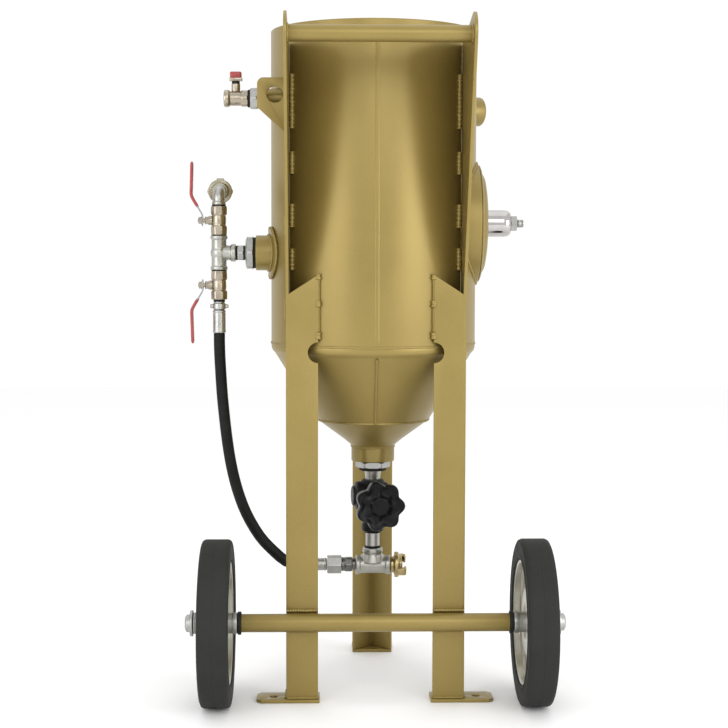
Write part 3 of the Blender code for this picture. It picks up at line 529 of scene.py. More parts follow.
def beadTree():
    # a weld: the radius swells once every ripple, and the bead wanders a little
    tree, given, output = newTree("weldBead", (
        ("Radius", "Float", 0.003), ("Ripple", "Float", 0.0035), ("Depth", "Float", 0.14),
        ("Wander", "Float", 0.0004), ("Seed", "Float", 1.0), ("Sides", "Int", 10), ("Material", "Material", None),
    ))
    path = take(tree, "GeometryNodeMeshToCurve", {"Mesh": given["Geometry"]})
    fine = sumUp(tree, "MULTIPLY", given["Ripple"], 0.25)
    even = take(tree, "GeometryNodeResampleCurve", {"Curve": path, "Length": fine}, mode="LENGTH")
    reach = add(tree, "GeometryNodeSplineParameter").outputs["Length"]
    ripples = sumUp(tree, "DIVIDE", reach, given["Ripple"])
    wave = sumUp(tree, "SINE", sumUp(tree, "MULTIPLY", ripples, 6.2832))
    lumps = {"W": given["Seed"], "Scale": 90.0, "Detail": 2.0}
    lumps = add(tree, "ShaderNodeTexNoise", lumps, noise_dimensions="4D").outputs["Fac"]
    uneven = sumUp(tree, "MULTIPLY_ADD", lumps, 0.7, 0.65)
    swell = sumUp(tree, "MULTIPLY_ADD", wave, given["Depth"], 1.0)
    size = sumUp(tree, "MULTIPLY", sumUp(tree, "MULTIPLY", swell, uneven), given["Radius"])
    drift = {"W": given["Seed"], "Scale": 60.0}
    drift = add(tree, "ShaderNodeTexNoise", drift, noise_dimensions="4D").outputs["Color"]
    centred = take(tree, "ShaderNodeVectorMath", {0: drift, 1: (0.5, 0.5, 0.5)}, operation="SUBTRACT")
    shift = take(tree, "ShaderNodeVectorMath", {0: centred, "Scale": given["Wander"]}, operation="SCALE")
    wandering = take(tree, "GeometryNodeSetPosition", {"Geometry": even, "Offset": shift})
    section = take(tree, "GeometryNodeCurvePrimitiveCircle", {"Resolution": given["Sides"], "Radius": 1.0})
    sized = {"Curve": wandering, "Profile Curve": section, "Fill Caps": True, "Scale": size}
    body = take(tree, "GeometryNodeCurveToMesh", sized)
    return closeTree(tree, given, body, output)


def threadTree():
    # a screw thread: one ridge wound round a core
    tree, given, output = newTree("screwThread", (
        ("Radius", "Float", 0.010), ("Length", "Float", 0.010), ("Pitch", "Float", 0.0018),
        ("Ridge", "Float", 0.0007), ("Material", "Material", None),
    ))
    turns = sumUp(tree, "DIVIDE", given["Length"], given["Pitch"])
    helix = take(tree, "GeometryNodeCurveSpiral", {
        "Resolution": 28, "Rotations": turns, "Start Radius": given["Radius"],
        "End Radius": given["Radius"], "Height": given["Length"],
    })
    section = take(tree, "GeometryNodeCurvePrimitiveCircle", {"Resolution": 4, "Radius": given["Ridge"]})
    body = take(tree, "GeometryNodeCurveToMesh", {"Curve": helix, "Profile Curve": section, "Fill Caps": True})
    return closeTree(tree, given, body, output)


def roundTree():
    # copies of the incoming part, spaced round the Z axis
    tree, given, output = newTree("copiesRound", (
        ("Count", "Int", 6), ("Start", "Float", 0.0), ("Material", "Material", None),
    ))
    spots = take(tree, "GeometryNodeMeshLine", {"Count": given["Count"], "Offset": (0, 0, 0)})
    index = take(tree, "GeometryNodeInputIndex")
    step = sumUp(tree, "DIVIDE", 6.283185, given["Count"])
    angle = sumUp(tree, "MULTIPLY_ADD", index, step, given["Start"])
    turn = take(tree, "ShaderNodeCombineXYZ", {"Z": angle})
    copies = {"Points": spots, "Instance": given["Geometry"], "Rotation": turn}
    return closeTree(tree, given, take(tree, "GeometryNodeInstanceOnPoints", copies), output)


def rowTree():
    # copies of the incoming part, spaced along the Z axis
    tree, given, output = newTree("copiesInRow", (
        ("Count", "Int", 4), ("Spacing", "Float", 0.003), ("Material", "Material", None),
    ))
    along = take(tree, "ShaderNodeCombineXYZ", {"Z": given["Spacing"]})
    spots = take(tree, "GeometryNodeMeshLine", {"Count": given["Count"], "Offset": along})
    copies = {"Points": spots, "Instance": given["Geometry"]}
    return closeTree(tree, given, take(tree, "GeometryNodeInstanceOnPoints", copies), output)


beads = beadTree()
threads = threadTree()
copiesRound = roundTree()
copiesInRow = rowTree()


def grow(thing, tree, values, sharpAngle=35):
    # runs a tree on a piece, with its inputs set by identifier, and keeps the result as plain mesh
    change = thing.modifiers.new(tree.name, "NODES")
    change.node_group = tree
    for item in tree.interface.items_tree:
        if item.in_out == "INPUT" and item.name in values:
            change[item.identifier] = values[item.name]
    settle(thing, sharpAngle)
    if "Material" in values:
        thing.data.materials.clear()
        thing.data.materials.append(values["Material"])
    return thing


made = []


def keep(thing, body="pot", node=None):
    # a piece stands for the CAD node of the same name, unless another node is named
    node = node or re.sub("([A-Z])", r"_\1", thing.name).lower()
    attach(thing, body)
    if node in frame["nodes"]:
        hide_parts(node)
    made.append(thing)
    return thing


def weld(name, paths, radius, seed=1.0, ripple=0.0035, depth=0.14, wander=0.0006, sides=10):
    # every path is a list of points, and all of them make one piece
    bm = bmesh.new()
    for path in paths:
        spots = [bm.verts.new(spot) for spot in path]
        for a, b in zip(spots, spots[1:]):
            bm.edges.new((a, b))
    mesh = bpy.data.meshes.new(name)
    bm.to_mesh(mesh)
    bm.free()
    thing = bpy.data.objects.new(name, mesh)
    bpy.context.scene.collection.objects.link(thing)
    values = {"Radius": radius, "Ripple": ripple, "Depth": depth, "Wander": wander, "Seed": seed, "Sides": sides}
    return keep(grow(thing, beads, dict(values, Material=goldPaint), 80))


def thread(name, radius, start, end, finish, at=origin, way=zWay, pitch=0.0018, ridge=0.0009):
    thing = bpy.data.objects.new(name, bpy.data.meshes.new(name))
    bpy.context.scene.collection.objects.link(thing)
    values = {"Radius": radius, "Length": end - start, "Pitch": pitch, "Ridge": ridge, "Material": finish}
    grow(thing, threads, values)
    return moved(thing, placing(at, way) @ Matrix.Translation((0, 0, start)))


def fit(*values):
    return keep(turned(*values))


# Camera, matched to the ordinary view of the pot from the handle side

def makeCamera():
    view = {"place": (-0.1021, -3.0751, 0.8424), "yaw": 0.027, "pitch": 0.0685, "roll": 0.0022, "lens": 78.41}
    lens = bpy.data.cameras.new("camera")
    lens.lens = view["lens"]
    lens.sensor_width = 36
    lens.clip_end = 60
    yaw, pitch, roll = view["yaw"], view["pitch"], view["roll"]
    ahead = Vector((sin(yaw) * cos(pitch), cos(yaw) * cos(pitch), -sin(pitch)))
    right = Vector((cos(yaw), -sin(yaw), 0))
    up = right.cross(ahead)
    across = cos(roll) * right + sin(roll) * up
    above = -sin(roll) * right + cos(roll) * up
    turn = Matrix((across, above, -ahead)).transposed().to_4x4()
    camera = bpy.data.objects.new("camera", lens)
    camera.matrix_world = Matrix.Translation(view["place"]) @ turn
    bpy.context.scene.collection.objects.link(camera)
    bpy.context.scene.camera = camera


makeCamera()


# Air hose, the only free cord

ferruleLength = 0.0445


def makeFerrule(end, at, way):
    # a swaged sleeve: a faceted crimp between a rolled bead and three shallow rings
    long = ferruleLength
    sleeve = [
        (0.0070, 0), (0.0108, 0), (0.0118, 0.0010), (0.0128, 0.0024), (0.0128, 0.0044), (0.0121, 0.0056),
        (0.0124, 0.0070), (0.0124, long - 0.0060), (0.0128, long - 0.0048), (0.0128, long - 0.0008),
        (0.0122, long), (0.0070, long),
    ]
    body = turned("sleeve", sleeve, zincPlate, steps=96, edge=0.0004, flats=[(10, 0.01215, 0.0075, long - 0.0065)])
    ring = tube("ring", 0.01245, 0.0105, 0.0120, 0.0138, zincPlate, steps=64, edge=0.0006)
    rings = grow(ring, copiesInRow, {"Count": 3, "Spacing": 0.0100, "Material": zincPlate})
    thing = moved(joined(f"hoseFerrule{end}", [body, rings]), placing(at, way))
    return keep(thing)


def makeHose():
    hose = {"radius": 0.0110, "top": (-0.3005, inletY, 0.6905), "endX": -0.1355, "endZ": 0.2290, "sides": 40}
    route = [
        hose["top"],
        (-0.3005, inletY, 0.6745),
        (-0.2999, inletY, 0.6500),
        (-0.2983, inletY + 0.001, 0.6170),
        (-0.2955, inletY + 0.003, 0.5705),
        (-0.2912, inletY + 0.005, 0.5233),
        (-0.2859, inletY + 0.008, 0.4759),
        (-0.2785, inletY + 0.011, 0.4285),
        (-0.2672, inletY + 0.015, 0.3809),
        (-0.2500, inletY + 0.019, 0.3332),
        (-0.2240, inletY + 0.024, 0.2870),
        (-0.1960, inletY + 0.028, 0.2555),
        (-0.1720, inletY + 0.030, 0.2350),
        (hose["endX"] - 0.016, tankY, hose["endZ"]),
        (hose["endX"], tankY, hose["endZ"]),
    ]
    line = smoothRoute(route, 0.016)
    thing = swept("airHose", line, circleOf(hose["radius"], hose["sides"]), hoseCover)
    keep(thing)
    top = makeFerrule("Top", Vector((hose["top"][0], inletY, 0.7358)), -zWay)
    bottom = makeFerrule("Bottom", Vector((hose["endX"] + 0.0003 + ferruleLength, tankY, hose["endZ"])), -xWay)


makeHose()


# Vessel

def onTank(y, z, lift=0.0, sideways=-1):
    # the point of the shell's outside at that y and z, on the left or right
    radius = tankRadius + lift
    return Vector((sideways * sqrt(max(radius**2 - (y - tankY) ** 2, 0)), y, z))


def closedCircle(radius, count):
    return circleOf(radius, count) + [(radius, 0)]


def circlePath(height, radius, count):
    return [(u, tankY + v, height) for u, v in closedCircle(radius, count)]


def saddlePath(centreY, centreZ, radius, sideways, lift=0.0, count=72):
    return [onTank(centreY + u, centreZ + v, lift, sideways) for u, v in closedCircle(radius, count)]


def makeVessel():
    tank = {
        "wall": 0.006, "rim": 1.274, "bottom": 0.670, "steps": 192,
        "outside": mm(
            (200, 670), (199.9, 665), (199.2, 660.5), (197.5, 657), (195, 654.2), (192, 650.5), (110.3, 520.4),
        ),
        "slope": mm((110.3, 520.1), (56, 480), (50, 474.8), (45.5, 471.3), (42.5, 466)),
    }
    inner = tankRadius - tank["wall"]
    foot, steps = tank["bottom"] + 0.0003, tank["steps"]
    keep(tube("tankShell", tankRadius, inner, foot, tank["rim"], goldPaint, tankAxis, zWay, steps, 0.0016))

    portWay = Vector((cos(radians(24)), sin(radians(24)), 0))
    portAt = Vector((0, tankY, 1.131))
    keep(bar("rearPortPlug", 0.0288, 0.1985, 0.2372, goldPaint, portAt, portWay, 64, 0.0025))

    inside = [(radius - 0.007, height) for radius, height in tank["outside"]]
    fit("bottomCone", tank["outside"] + inside[::-1], goldPaint, tankAxis, zWay, steps, 0.0009)

    slopeInside = [(radius - 0.010, height) for radius, height in tank["slope"]]
    fit("outletReducer", tank["slope"] + slopeInside[::-1], goldPaint, tankAxis, zWay, 128, 0.0012)
    keep(tube("outletCollar", 0.0425, 0.0250, 0.4373, 0.4655, goldPaint, tankAxis, zWay, 96, 0.0015))

    skirt = inner - 0.0006
    under = [(skirt, 1.248), (skirt, 1.224), (skirt - 0.004, 1.212), (skirt - 0.014, 1.2045), (0.150, 1.1955)]
    under += mm((110, 1183.5), (74, 1173.5), (66, 1170), (61.2, 1162), (60, 1150))
    wall = []
    for i, spot in enumerate(under):
        before = Vector(under[max(i - 1, 0)])
        after = Vector(under[min(i + 1, len(under) - 1)])
        along = (after - before).normalized()
        inward = Vector((along.y, -along.x))
        inward = -inward if inward.x > 0 else inward
        wall.append((spot[0] + inward.x * 0.005, spot[1] + inward.y * 0.005))
    fit("topHead", under + wall[::-1], goldPaint, tankAxis, zWay, steps, 0.0018)
    keep(tube("fillerSeal", 0.0588, 0.0470, 1.1356, 1.1454, sealRubber, tankAxis, zWay, 96, 0.0030))
    base = 1.0953
    cone = [
        (0, base - 0.050), (0.0120, base - 0.050), (0.0122, base), (0.030, base), (0.052, base + 0.004),
        (0.053, base + 0.0065), (0.046, base + 0.0135), (0.030, base + 0.0270), (0.012, base + 0.0415),
        (0.006, base + 0.0442), (0, base + 0.0450),
    ]
    popup = turned("popupValve", cone, sealRubber, tankAxis, zWay, 96, 0.0014)
    keep(popup, "popup")

    front = tankY - tankRadius
    down = [(0.001, front, z / 100) for z in range(68, 127, 2)]
    seam = weld("seamWeld", [down], 0.0044, 3, 0.006, 0.02, 0.0004, sides=14)
    for spot in seam.data.vertices:
        spot.co.y = front + 0.0004 + (spot.co.y - front) * 0.26
    down = [(0.001, tankY - radius, height) for radius, height in mm((192.5, 650.5), (151, 585.3), (110.8, 521))]
    weld("coneSeamWeld", [down], 0.0030, 5, 0.006, 0.02, 0.0004, sides=12)
    rings = [
        circlePath(0.6712, 0.1986, 160), circlePath(0.5203, 0.1092, 120),
        circlePath(0.4660, 0.0412, 60),
    ]
    weld("ringWelds", rings, 0.0027, 7, 0.0042, 0.10, 0.0008)
    weld("headWeld", [circlePath(1.2485, 0.1920, 160)], 0.0030, 8, 0.0042, 0.12, 0.0008)
    across = portWay.cross(zWay)
    portRing = []
    for u, v in closedCircle(0.0288, 48):
        depth = sqrt(tankRadius**2 - u**2) + 0.0008
        portRing.append(portAt + portWay * depth + across * u + zWay * v)
    weld("portWeld", [portRing], 0.0032, 9)
    print("vessel ready")


makeVessel()


# Frame

def makeSideFrames():
    plate = {"x": 0.168, "width": 0.060, "wall": 0.0055, "bottom": 0.0063, "slantLow": 0.767, "slantHigh": 0.806}
    backY = tankY - 0.1172
    inner = plate["x"] - plate["width"]
    nose = arc((tankY - 0.330, 1.228), 0.038, 200, 85, 25)
    side = [(legFrontY, plate["bottom"]), (legFrontY, plate["slantLow"])] + nose
    side += [(backY, 1.236), (backY, plate["bottom"])]
    for name, way in (("left", -1), ("right", 1)):
        notch = arc((way * inner, 0.661), 0.0192, 90, 90 - way * 180, 25)
        flange = [(way * plate["x"], plate["bottom"]), (way * plate["x"], plate["slantLow"])]
        flange += [(way * inner, plate["slantHigh"])] + notch + [(way * inner, plate["bottom"])]
        wall = (way * plate["x"], way * (plate["x"] - plate["wall"]))
        sheet = prism(f"sideFrame{name.title()}", side, *wall, goldPaint, "YZ", 0)
        front = prism("flange", flange, legFrontY, legFrontY + plate["wall"], goldPaint, "XZ", 0)
        carve(sheet, "UNION", front)
        roundEdges(sheet, 0.0011, 3, 30)
        keep(sheet)

    handleAt = Vector((0, tankY - 0.330, 1.228))
    keep(bar("handleTube", 0.0151, -0.1622, 0.1622, goldPaint, handleAt, xWay, 64, 0.0004))
    rings = [[handleAt + Vector((way * 0.1617, u, v)) for u, v in closedCircle(0.0155, 40)] for way in (-1, 1)]
    weld("handleWelds", rings, 0.0021, 11, 0.0034)


def makeRearLeg():
    leg = {"x": 0.006, "y": tankY + 0.2444, "width": 0.060, "wall": 0.0055, "top": 0.800}
    reach = leg["width"] / sqrt(2)
    step = leg["wall"] / sqrt(2)
    x, y = leg["x"], leg["y"]
    outline = [
        (x, y), (x - reach, y - reach), (x - reach + step, y - reach - step),
        (x, y - 2 * step), (x + reach - step, y - reach - step), (x + reach, y - reach),
    ]
    thing = prism("rearLeg", outline, 0.0063, leg["top"], goldPaint, "XY", 0.0012)
    keep(thing)
    edges = []
    for way in (-1, 1):
        at = Vector((x + way * (reach - step), y - reach - step + 0.0005, 0))
        for low, high in ((0.690, 0.712), (0.735, 0.757), (0.778, 0.799)):
            edges.append([at + zWay * low, at + zWay * high])
    weld("rearLegWelds", edges, 0.0042, 13)
    tips = [(x + way * (reach - 0.004), y - reach + 0.001, 0.0075) for way in (-1, 1)]
    foot = [tips[0], (x, y + 0.0005, 0.0075), tips[1]]
    weld("rearFootWeld", [foot], 0.0028, 14)


def makeFeet():
    foot = {"thick": 0.006, "hole": 0.0075, "corner": 0.009, "rearHalf": 0.0415}
    c = foot["corner"]
    for name, way in (("Left", -1), ("Right", 1)):
        near, far = way * 0.105, way * 0.224
        low, high = tankY - 0.184, tankY - 0.128
        inner = far - way * c
        outline = [(near, low), (inner, low), (far, low + c), (far, high - c), (inner, high), (near, high)]
        plate = prism(f"foot{name}", outline, 0, foot["thick"], goldPaint, "XY", 0)
        hole = drill(foot["hole"], -0.01, 0.02, Vector((way * 0.192, tankY - 0.158, 0)), zWay, 40)
        carve(plate, "DIFFERENCE", hole)
        keep(roundEdges(plate, 0.0008))
    x = 0.006
    low, high = tankY + 0.2005, tankY + 0.275
    left, right = x - foot["rearHalf"], x + foot["rearHalf"]
    outline = [(left, low), (right, low), (right, high - c), (right - c, high), (left + c, high), (left, high - c)]
    plate = prism("footRear", outline, 0, foot["thick"], goldPaint, "XY", 0)
    carve(plate, "DIFFERENCE", drill(foot["hole"], -0.01, 0.02, Vector((x, tankY + 0.2615, 0)), zWay, 40))
    keep(roundEdges(plate, 0.0008))


def makeFrameWelds():
    inside, outside = [], []
    for way in (-1, 1):
        for low, high in ((1.079, 1.181), (0.994, 1.036), (0.894, 0.939), (0.814, 0.856)):
            inside.append([(way * 0.1576, tankY - 0.1262, z) for z in (low, (low + high) / 2, high)])
        for low, high in ((1.150, 1.185), (1.020, 1.055), (0.880, 0.915), (0.720, 0.760)):
            outside.append([(way * 0.1700, tankY - 0.1080, low), (way * 0.1700, tankY - 0.1080, high)])
        for low, high in ((0.797, 0.807), (0.746, 0.757), (0.686, 0.700)):
            inside.append([(way * 0.1078, tankY - 0.1722, low), (way * 0.1078, tankY - 0.1722, high)])
        outside.append([(way * 0.1072, tankY - 0.1712, 0.700), (way * 0.1072, tankY - 0.1712, 0.800)])
    weld("plateWelds", inside, 0.0056, 17, 0.0080, 0.22, 0.0020)
    weld("backWelds", outside, 0.0026, 19, 0.0040)
    feet, axle = [], []
    for way in (-1, 1):
        feet.append([(way * x, legFrontY + 0.0006, 0.0078) for x in (0.110, 0.135, 0.166)])
        feet.append([(way * 0.1684, legFrontY + y, 0.0078) for y in (0.004, 0.030, 0.055)])
        for z, wide in ((0.1752, 0.0575), (0.1370, 0.050)):
            axle.append([(way * (0.1385 + s), legFrontY - 0.0012, z) for s in (-wide / 2, 0, wide / 2)])
    weld("footWelds", feet, 0.0024, 21)
    weld("axleWelds", axle, 0.0036, 23, 0.0050, 0.18, 0.0018)


makeSideFrames()
makeRearLeg()
makeFeet()
makeFrameWelds()
print("frame ready")


# Wheels and axle

def makeWheels():
    wheel = {
        "radius": 0.156, "width": 0.056, "x": 0.297, "bore": 0.117, "y": legFrontY - 0.0171 - 0.0003,
        "disc": mm(
            (20.3, -13), (30, -12.5), (36, -16.5), (60, -16), (66, -12.5), (96, -8), (104, -8.5), (108.5, -13),
            (110.5, -24), (116, -24.8), (116, 24.8), (110.5, 24), (108.5, -9.5), (104, -5), (96, -4.5), (66, -9),
            (60, -12.5), (36, -13), (30, -9), (20.3, -9),
        ),
        "hub": mm(
            (10.6, -38.8), (19, -38.8), (20, -37.5), (20, -30), (19.2, -29.6), (19.2, -15), (20, -14.6), (20, 4),
            (19, 4.4), (19, 39.5), (20, 40), (20, 42.5), (19, 43.5), (10.6, 43.5),
        ),
        "cap": mm(
            (10.4, 341.1), (24, 341.1), (24.5, 342), (24, 346.2), (17.2, 347.5), (16.5, 349), (16.2, 353),
            (12, 356), (6, 356.5), (0, 356.5), (0, 349), (10.4, 349),
        ),
    }
    centre = Vector((0, wheel["y"], wheel["radius"]))
    keep(tube("axleTube", 0.0171, 0.0120, -0.251, 0.251, goldPaint, centre, xWay, 72, 0.0008))
    keep(bar("axleRod", 0.0100, -0.3480, 0.3480, zincPlate, centre, xWay, 48, 0.0010))
    half = wheel["width"] / 2
    flank = [
        (wheel["bore"], half - 0.002), (0.1215, half), (0.1275, half), (0.1290, half - 0.0012),
        (0.1420, half - 0.0006), (0.1490, half), (0.1538, half - 0.0022), (0.156, half - 0.0072),
        (0.156, 0.0006),
    ]
    tyre = [(radius, -height) for radius, height in flank] + [(0.15545, 0)] + flank[::-1]
    for side, way in (("Left", -xWay), ("Right", xWay)):
        body = f"wheel_{side.lower()}"
        at = centre + way * wheel["x"]
        keep(turned(f"tyre{side}", tyre, tyreRubber, at, way, 192, 0.0012), body)
        dish = turned(f"wheelDisc{side}", wheel["disc"], wheelPaint, at, way, 144, 0.0012)
        keep(dish, body)
        keep(turned(f"wheelHub{side}", wheel["hub"], zincPlate, at, way, 72, 0.0004), body)
        fit(f"axleCap{side}", wheel["cap"], zincPlate, centre, way, 64, 0.0003)
        keep(tube(f"axleSpacer{side}", 0.0216, 0.0105, 0.2513, 0.2576, sealRubber, centre, way, 64, 0.0010))
    print("wheels ready")


makeWheels()


# Hand-hole on the right

def makeHandhole():
    handhole = {
        "height": 0.905, "stud": 0.0070, "door": 0.1168,
        "profile": mm((106.5, 150), (116.5, 150), (116.5, 203), (88.5, 203), (88.5, 194.5), (106.5, 194.5)),
        "bridge": mm(
            (8.8, 211), (50, 210), (84, 207.5), (98, 203.6), (113.6, 203.6), (114, 206.2), (108, 208.5), (102, 208),
            (98.5, 209.5), (96, 213), (90, 216), (76, 218.5), (60, 220), (30, 221.6), (8.8, 221.8),
        ),
        "sleeve": mm(
            (9, 222.5), (25.5, 222.5), (26.2, 223.2), (26.2, 254), (25.8, 259), (24.6, 264), (22.2, 267.5),
            (19, 269.2), (9, 269.5),
        ),
        "nut": mm((8.2, 269.9), (15, 269.9), (16.6, 271), (16.6, 280.5), (15, 281.4), (8.2, 281.4)),
    }
    centre = tankAxis + zWay * handhole["height"]
    neck = turned("handholeNeck", handhole["profile"], goldPaint, centre, xWay, 128, 0.0012)
    carve(neck, "DIFFERENCE", bar("inside", tankRadius + 0.0003, 0.6, 1.2, goldPaint, tankAxis, zWay, 192, 0))
    keep(neck)
    keep(turned("handholeCover", handhole["bridge"], goldPaint, centre, xWay, 128, 0.0008), node="handhole_bridge")
    fit("clampSleeve", handhole["sleeve"], chromePlate, centre, xWay, 96, 0.0004)
    fit("clampNut", handhole["nut"], zincPlate, centre, xWay, 72, 0.0002, [(6, 0.0143, 0.26, 0.29)])
    core = bar("clampStud", handhole["stud"], 0.1908, 0.2950, zincPlate, centre, xWay, 48, 0.0008)
    ridge = thread("studThread", handhole["stud"], 0.2818, 0.2940, zincPlate, centre, xWay, 0.0020, 0.0010)
    keep(joined("clampStud", [core, ridge]))
    ring = saddlePath(tankY, handhole["height"], handhole["door"], 1, 0.0004, 120)
    weld("handholeWeld", [ring], 0.0034, 25, 0.0045, 0.14, 0.001)
    print("hand-hole ready")


makeHandhole()


# Shared fittings

def insideTank(lift=0.0003):
    return bar("inside", tankRadius + lift, 0.6, 1.3, goldPaint, tankAxis, zWay, 192, 0)


def sealant(name, radius, start, end, at, way):
    # dark jointing compound squeezed out between two threaded fittings
    core = tube(name, radius, radius - 0.004, start, end, sealRubber, at, way, 48, 0.0008)
    ridge = thread("ridge", radius - 0.0003, start + 0.0004, end - 0.0004, sealRubber, at, way, 0.0015, 0.0007)
    return keep(joined(name, [core, ridge]))


def roundedBox(halfWide, halfThick, radius, pieces=5):
    section = []
    for signU, signV, first in ((1, 1, 0), (-1, 1, 90), (-1, -1, 180), (1, -1, 270)):
        corner = (signU * (halfWide - radius), signV * (halfThick - radius))
        section += arc(corner, radius, first, first + 90, pieces)
    return section


def clawCoupling(name, base, way, radius, bore, turn, ringFinish):
    # a cast coupling half: a lugged ring, two hooked claws and a rubber face seal
    body = turned("ring", [
        (bore, 0), (0.0152, 0), (0.0158, 0.0012), (0.0158, 0.0058), (0.0190, 0.0070), (radius - 0.0006, 0.0082),
        (radius, 0.0098), (radius, 0.0142), (radius - 0.0008, 0.0158), (radius - 0.0060, 0.0178),
        (radius - 0.0060, 0.0215), (radius - 0.0068, 0.0222), (bore, 0.0222),
    ], ringFinish, steps=96)
    hook = [
        (0.0150, 0.0110), (radius + 0.0010, 0.0110), (radius + 0.0024, 0.0150), (radius + 0.0025, 0.0270),
        (radius + 0.0008, 0.0308), (0.0158, 0.0312), (0.0142, 0.0298), (0.0150, 0.0268), (0.0186, 0.0256),
        (0.0190, 0.0210),
    ]
    claws, lugs = [], [body]
    for angle in (turn, turn + pi):
        claw = prism("claw", hook, -0.0072, 0.0072, castBrass, "XZ", 0.0012)
        claws.append(moved(claw, Matrix.Rotation(angle, 4, "Z")))
        inner, outer = radius - 0.004, radius + 0.0012
        rim = [(inner, -0.005), (outer, -0.0035), (outer, 0.0035), (inner, 0.005)]
        lug = prism("lug", rim, 0.0085, 0.0155, ringFinish, "XY", 0.001)
        lugs.append(moved(lug, Matrix.Rotation(angle + pi / 2, 4, "Z")))
    ring = cast("ring", lugs, ringFinish, 0.00075, 3)
    made = joined(name, [ring, cast("claws", claws, castBrass, 0.0007, 3)])
    keep(moved(made, placing(base, way)))
    keep(tube(f"{name}Seal", radius - 0.0078, bore + 0.0004, 0.0200, 0.0232, sealRubber, base, way, 64, 0.0010))


valvePocket = arc((0, 0), 0.0122, 52, -52, 13)


def valveBall(tip, spot, stemWay, boreWay):
    profile = arc((0, 0), 0.0112, -90, 67, 16) + [(0.0043, tip), (0, tip)]
    ball = turned("ball", profile, nickelPlate, spot, stemWay, 48, 0)
    return carve(ball, "DIFFERENCE", drill(0.0066, -0.03, 0.03, spot, boreWay, 40))


def ballValve(level, spot, up):
    # two hex ends with a round belly, a bonnet and its packing nut on the stem side
    ends = [(6, 0.0141, -0.0285, -0.0100), (6, 0.0144, 0.0112, 0.0285)]
    body = turned(f"{level}ValveBody", mm(
        (7, -27.9), (14.2, -27.9), (15.1, -26.8), (15.5, -18), (15.5, -12), (14, -10.2), (13.4, -8), (13.9, -4),
        (14.1, 3), (13.7, 7.8), (13.3, 9.4), (15, 11.2), (15.6, 13), (15.6, 26.2), (14.4, 27.9), (7, 27.9),
    ) + valvePocket, nickelPlate, spot, zWay * up, 96, 0.0008, ends)
    stemWay = -xWay
    bonnet = bar("bonnet", 0.0090, 0.0124, 0.0205, nickelPlate, spot, stemWay, 64, 0.0008)
    hexed = [(6, 0.0072, 0.019, 0.027)]
    gland = bar("gland", 0.0088, 0.0200, 0.0258, nickelPlate, spot, stemWay, 72, 0.0005, hexed)
    carve(body, "UNION", bonnet, gland)
    carve(body, "DIFFERENCE", drill(0.0046, 0.0050, 0.0400, spot, stemWay, 40))
    keep(body)
    keep(tube(f"{level}ValveLip", 0.0076, 0.0046, 0.0258, 0.0268, sealRubber, spot, stemWay, 48, 0.0003))

    handle = f"{level}_valve_handle"
    ball = valveBall(0.0338, spot, stemWay, zWay)
    hexed = [(6, 0.0066, 0.033, 0.040)]
    nut = bar("stemNut", 0.0078, 0.0340, 0.0392, nickelPlate, spot, stemWay, 72, 0.0005, hexed)
    washer = tube("washer", 0.0082, 0.0040, 0.0332, 0.0342, nickelPlate, spot, stemWay, 48, 0.0002)
    tip = bar("tip", 0.0036, 0.0380, 0.0408, nickelPlate, spot, stemWay, 40, 0.0005)
    keep(joined(f"{level}ValveStem", [ball, nut, washer, tip]), handle, f"{level}_valve_ball")

    lever = {"x": -0.3322, "strip": (0.0078, 0.0013, 0.0006, 4), "grip": (0.0088, 0.0029, 0.0024, 6)}
    bend = mm((0, -11.5), (0, 0), (-0.3, 10), (-7.5, 23.5), (-17, 39.5), (-21.1, 49), (-21, 62))
    line = smoothRoute([(lever["x"] + out, spot.y, spot.z + up * rise) for out, rise in bend], 0.0025)
    sizes = [0.45, 0.75, 0.93] + [1.0] * (len(line) - 3)
    keep(swept(f"{level}LeverStrip", line, roundedBox(*lever["strip"]), leverSteel, sizes, yWay), handle)
    bend = mm((-9, 26.2), (-17, 39.5), (-21.3, 49.5), (-21.2, 65), (-20.5, 90), (-19.9, 113.5))
    line = smoothRoute([(lever["x"] + out, spot.y, spot.z + up * rise) for out, rise in bend], 0.0020)
    sizes = []
    for i in range(len(line)):
        near = min(i / 3, 1)
        far = min((len(line) - 1 - i) / 4, 1)
        sizes.append((0.82 + 0.18 * near) * (0.35 + 0.65 * sqrt(1 - (1 - far) ** 2)))
    dip = swept(f"{level}LeverGrip", line, roundedBox(*lever["grip"]), redDip, sizes, yWay)
    keep(dip, handle, f"{level}_valve_lever")


# Air manifold on the left

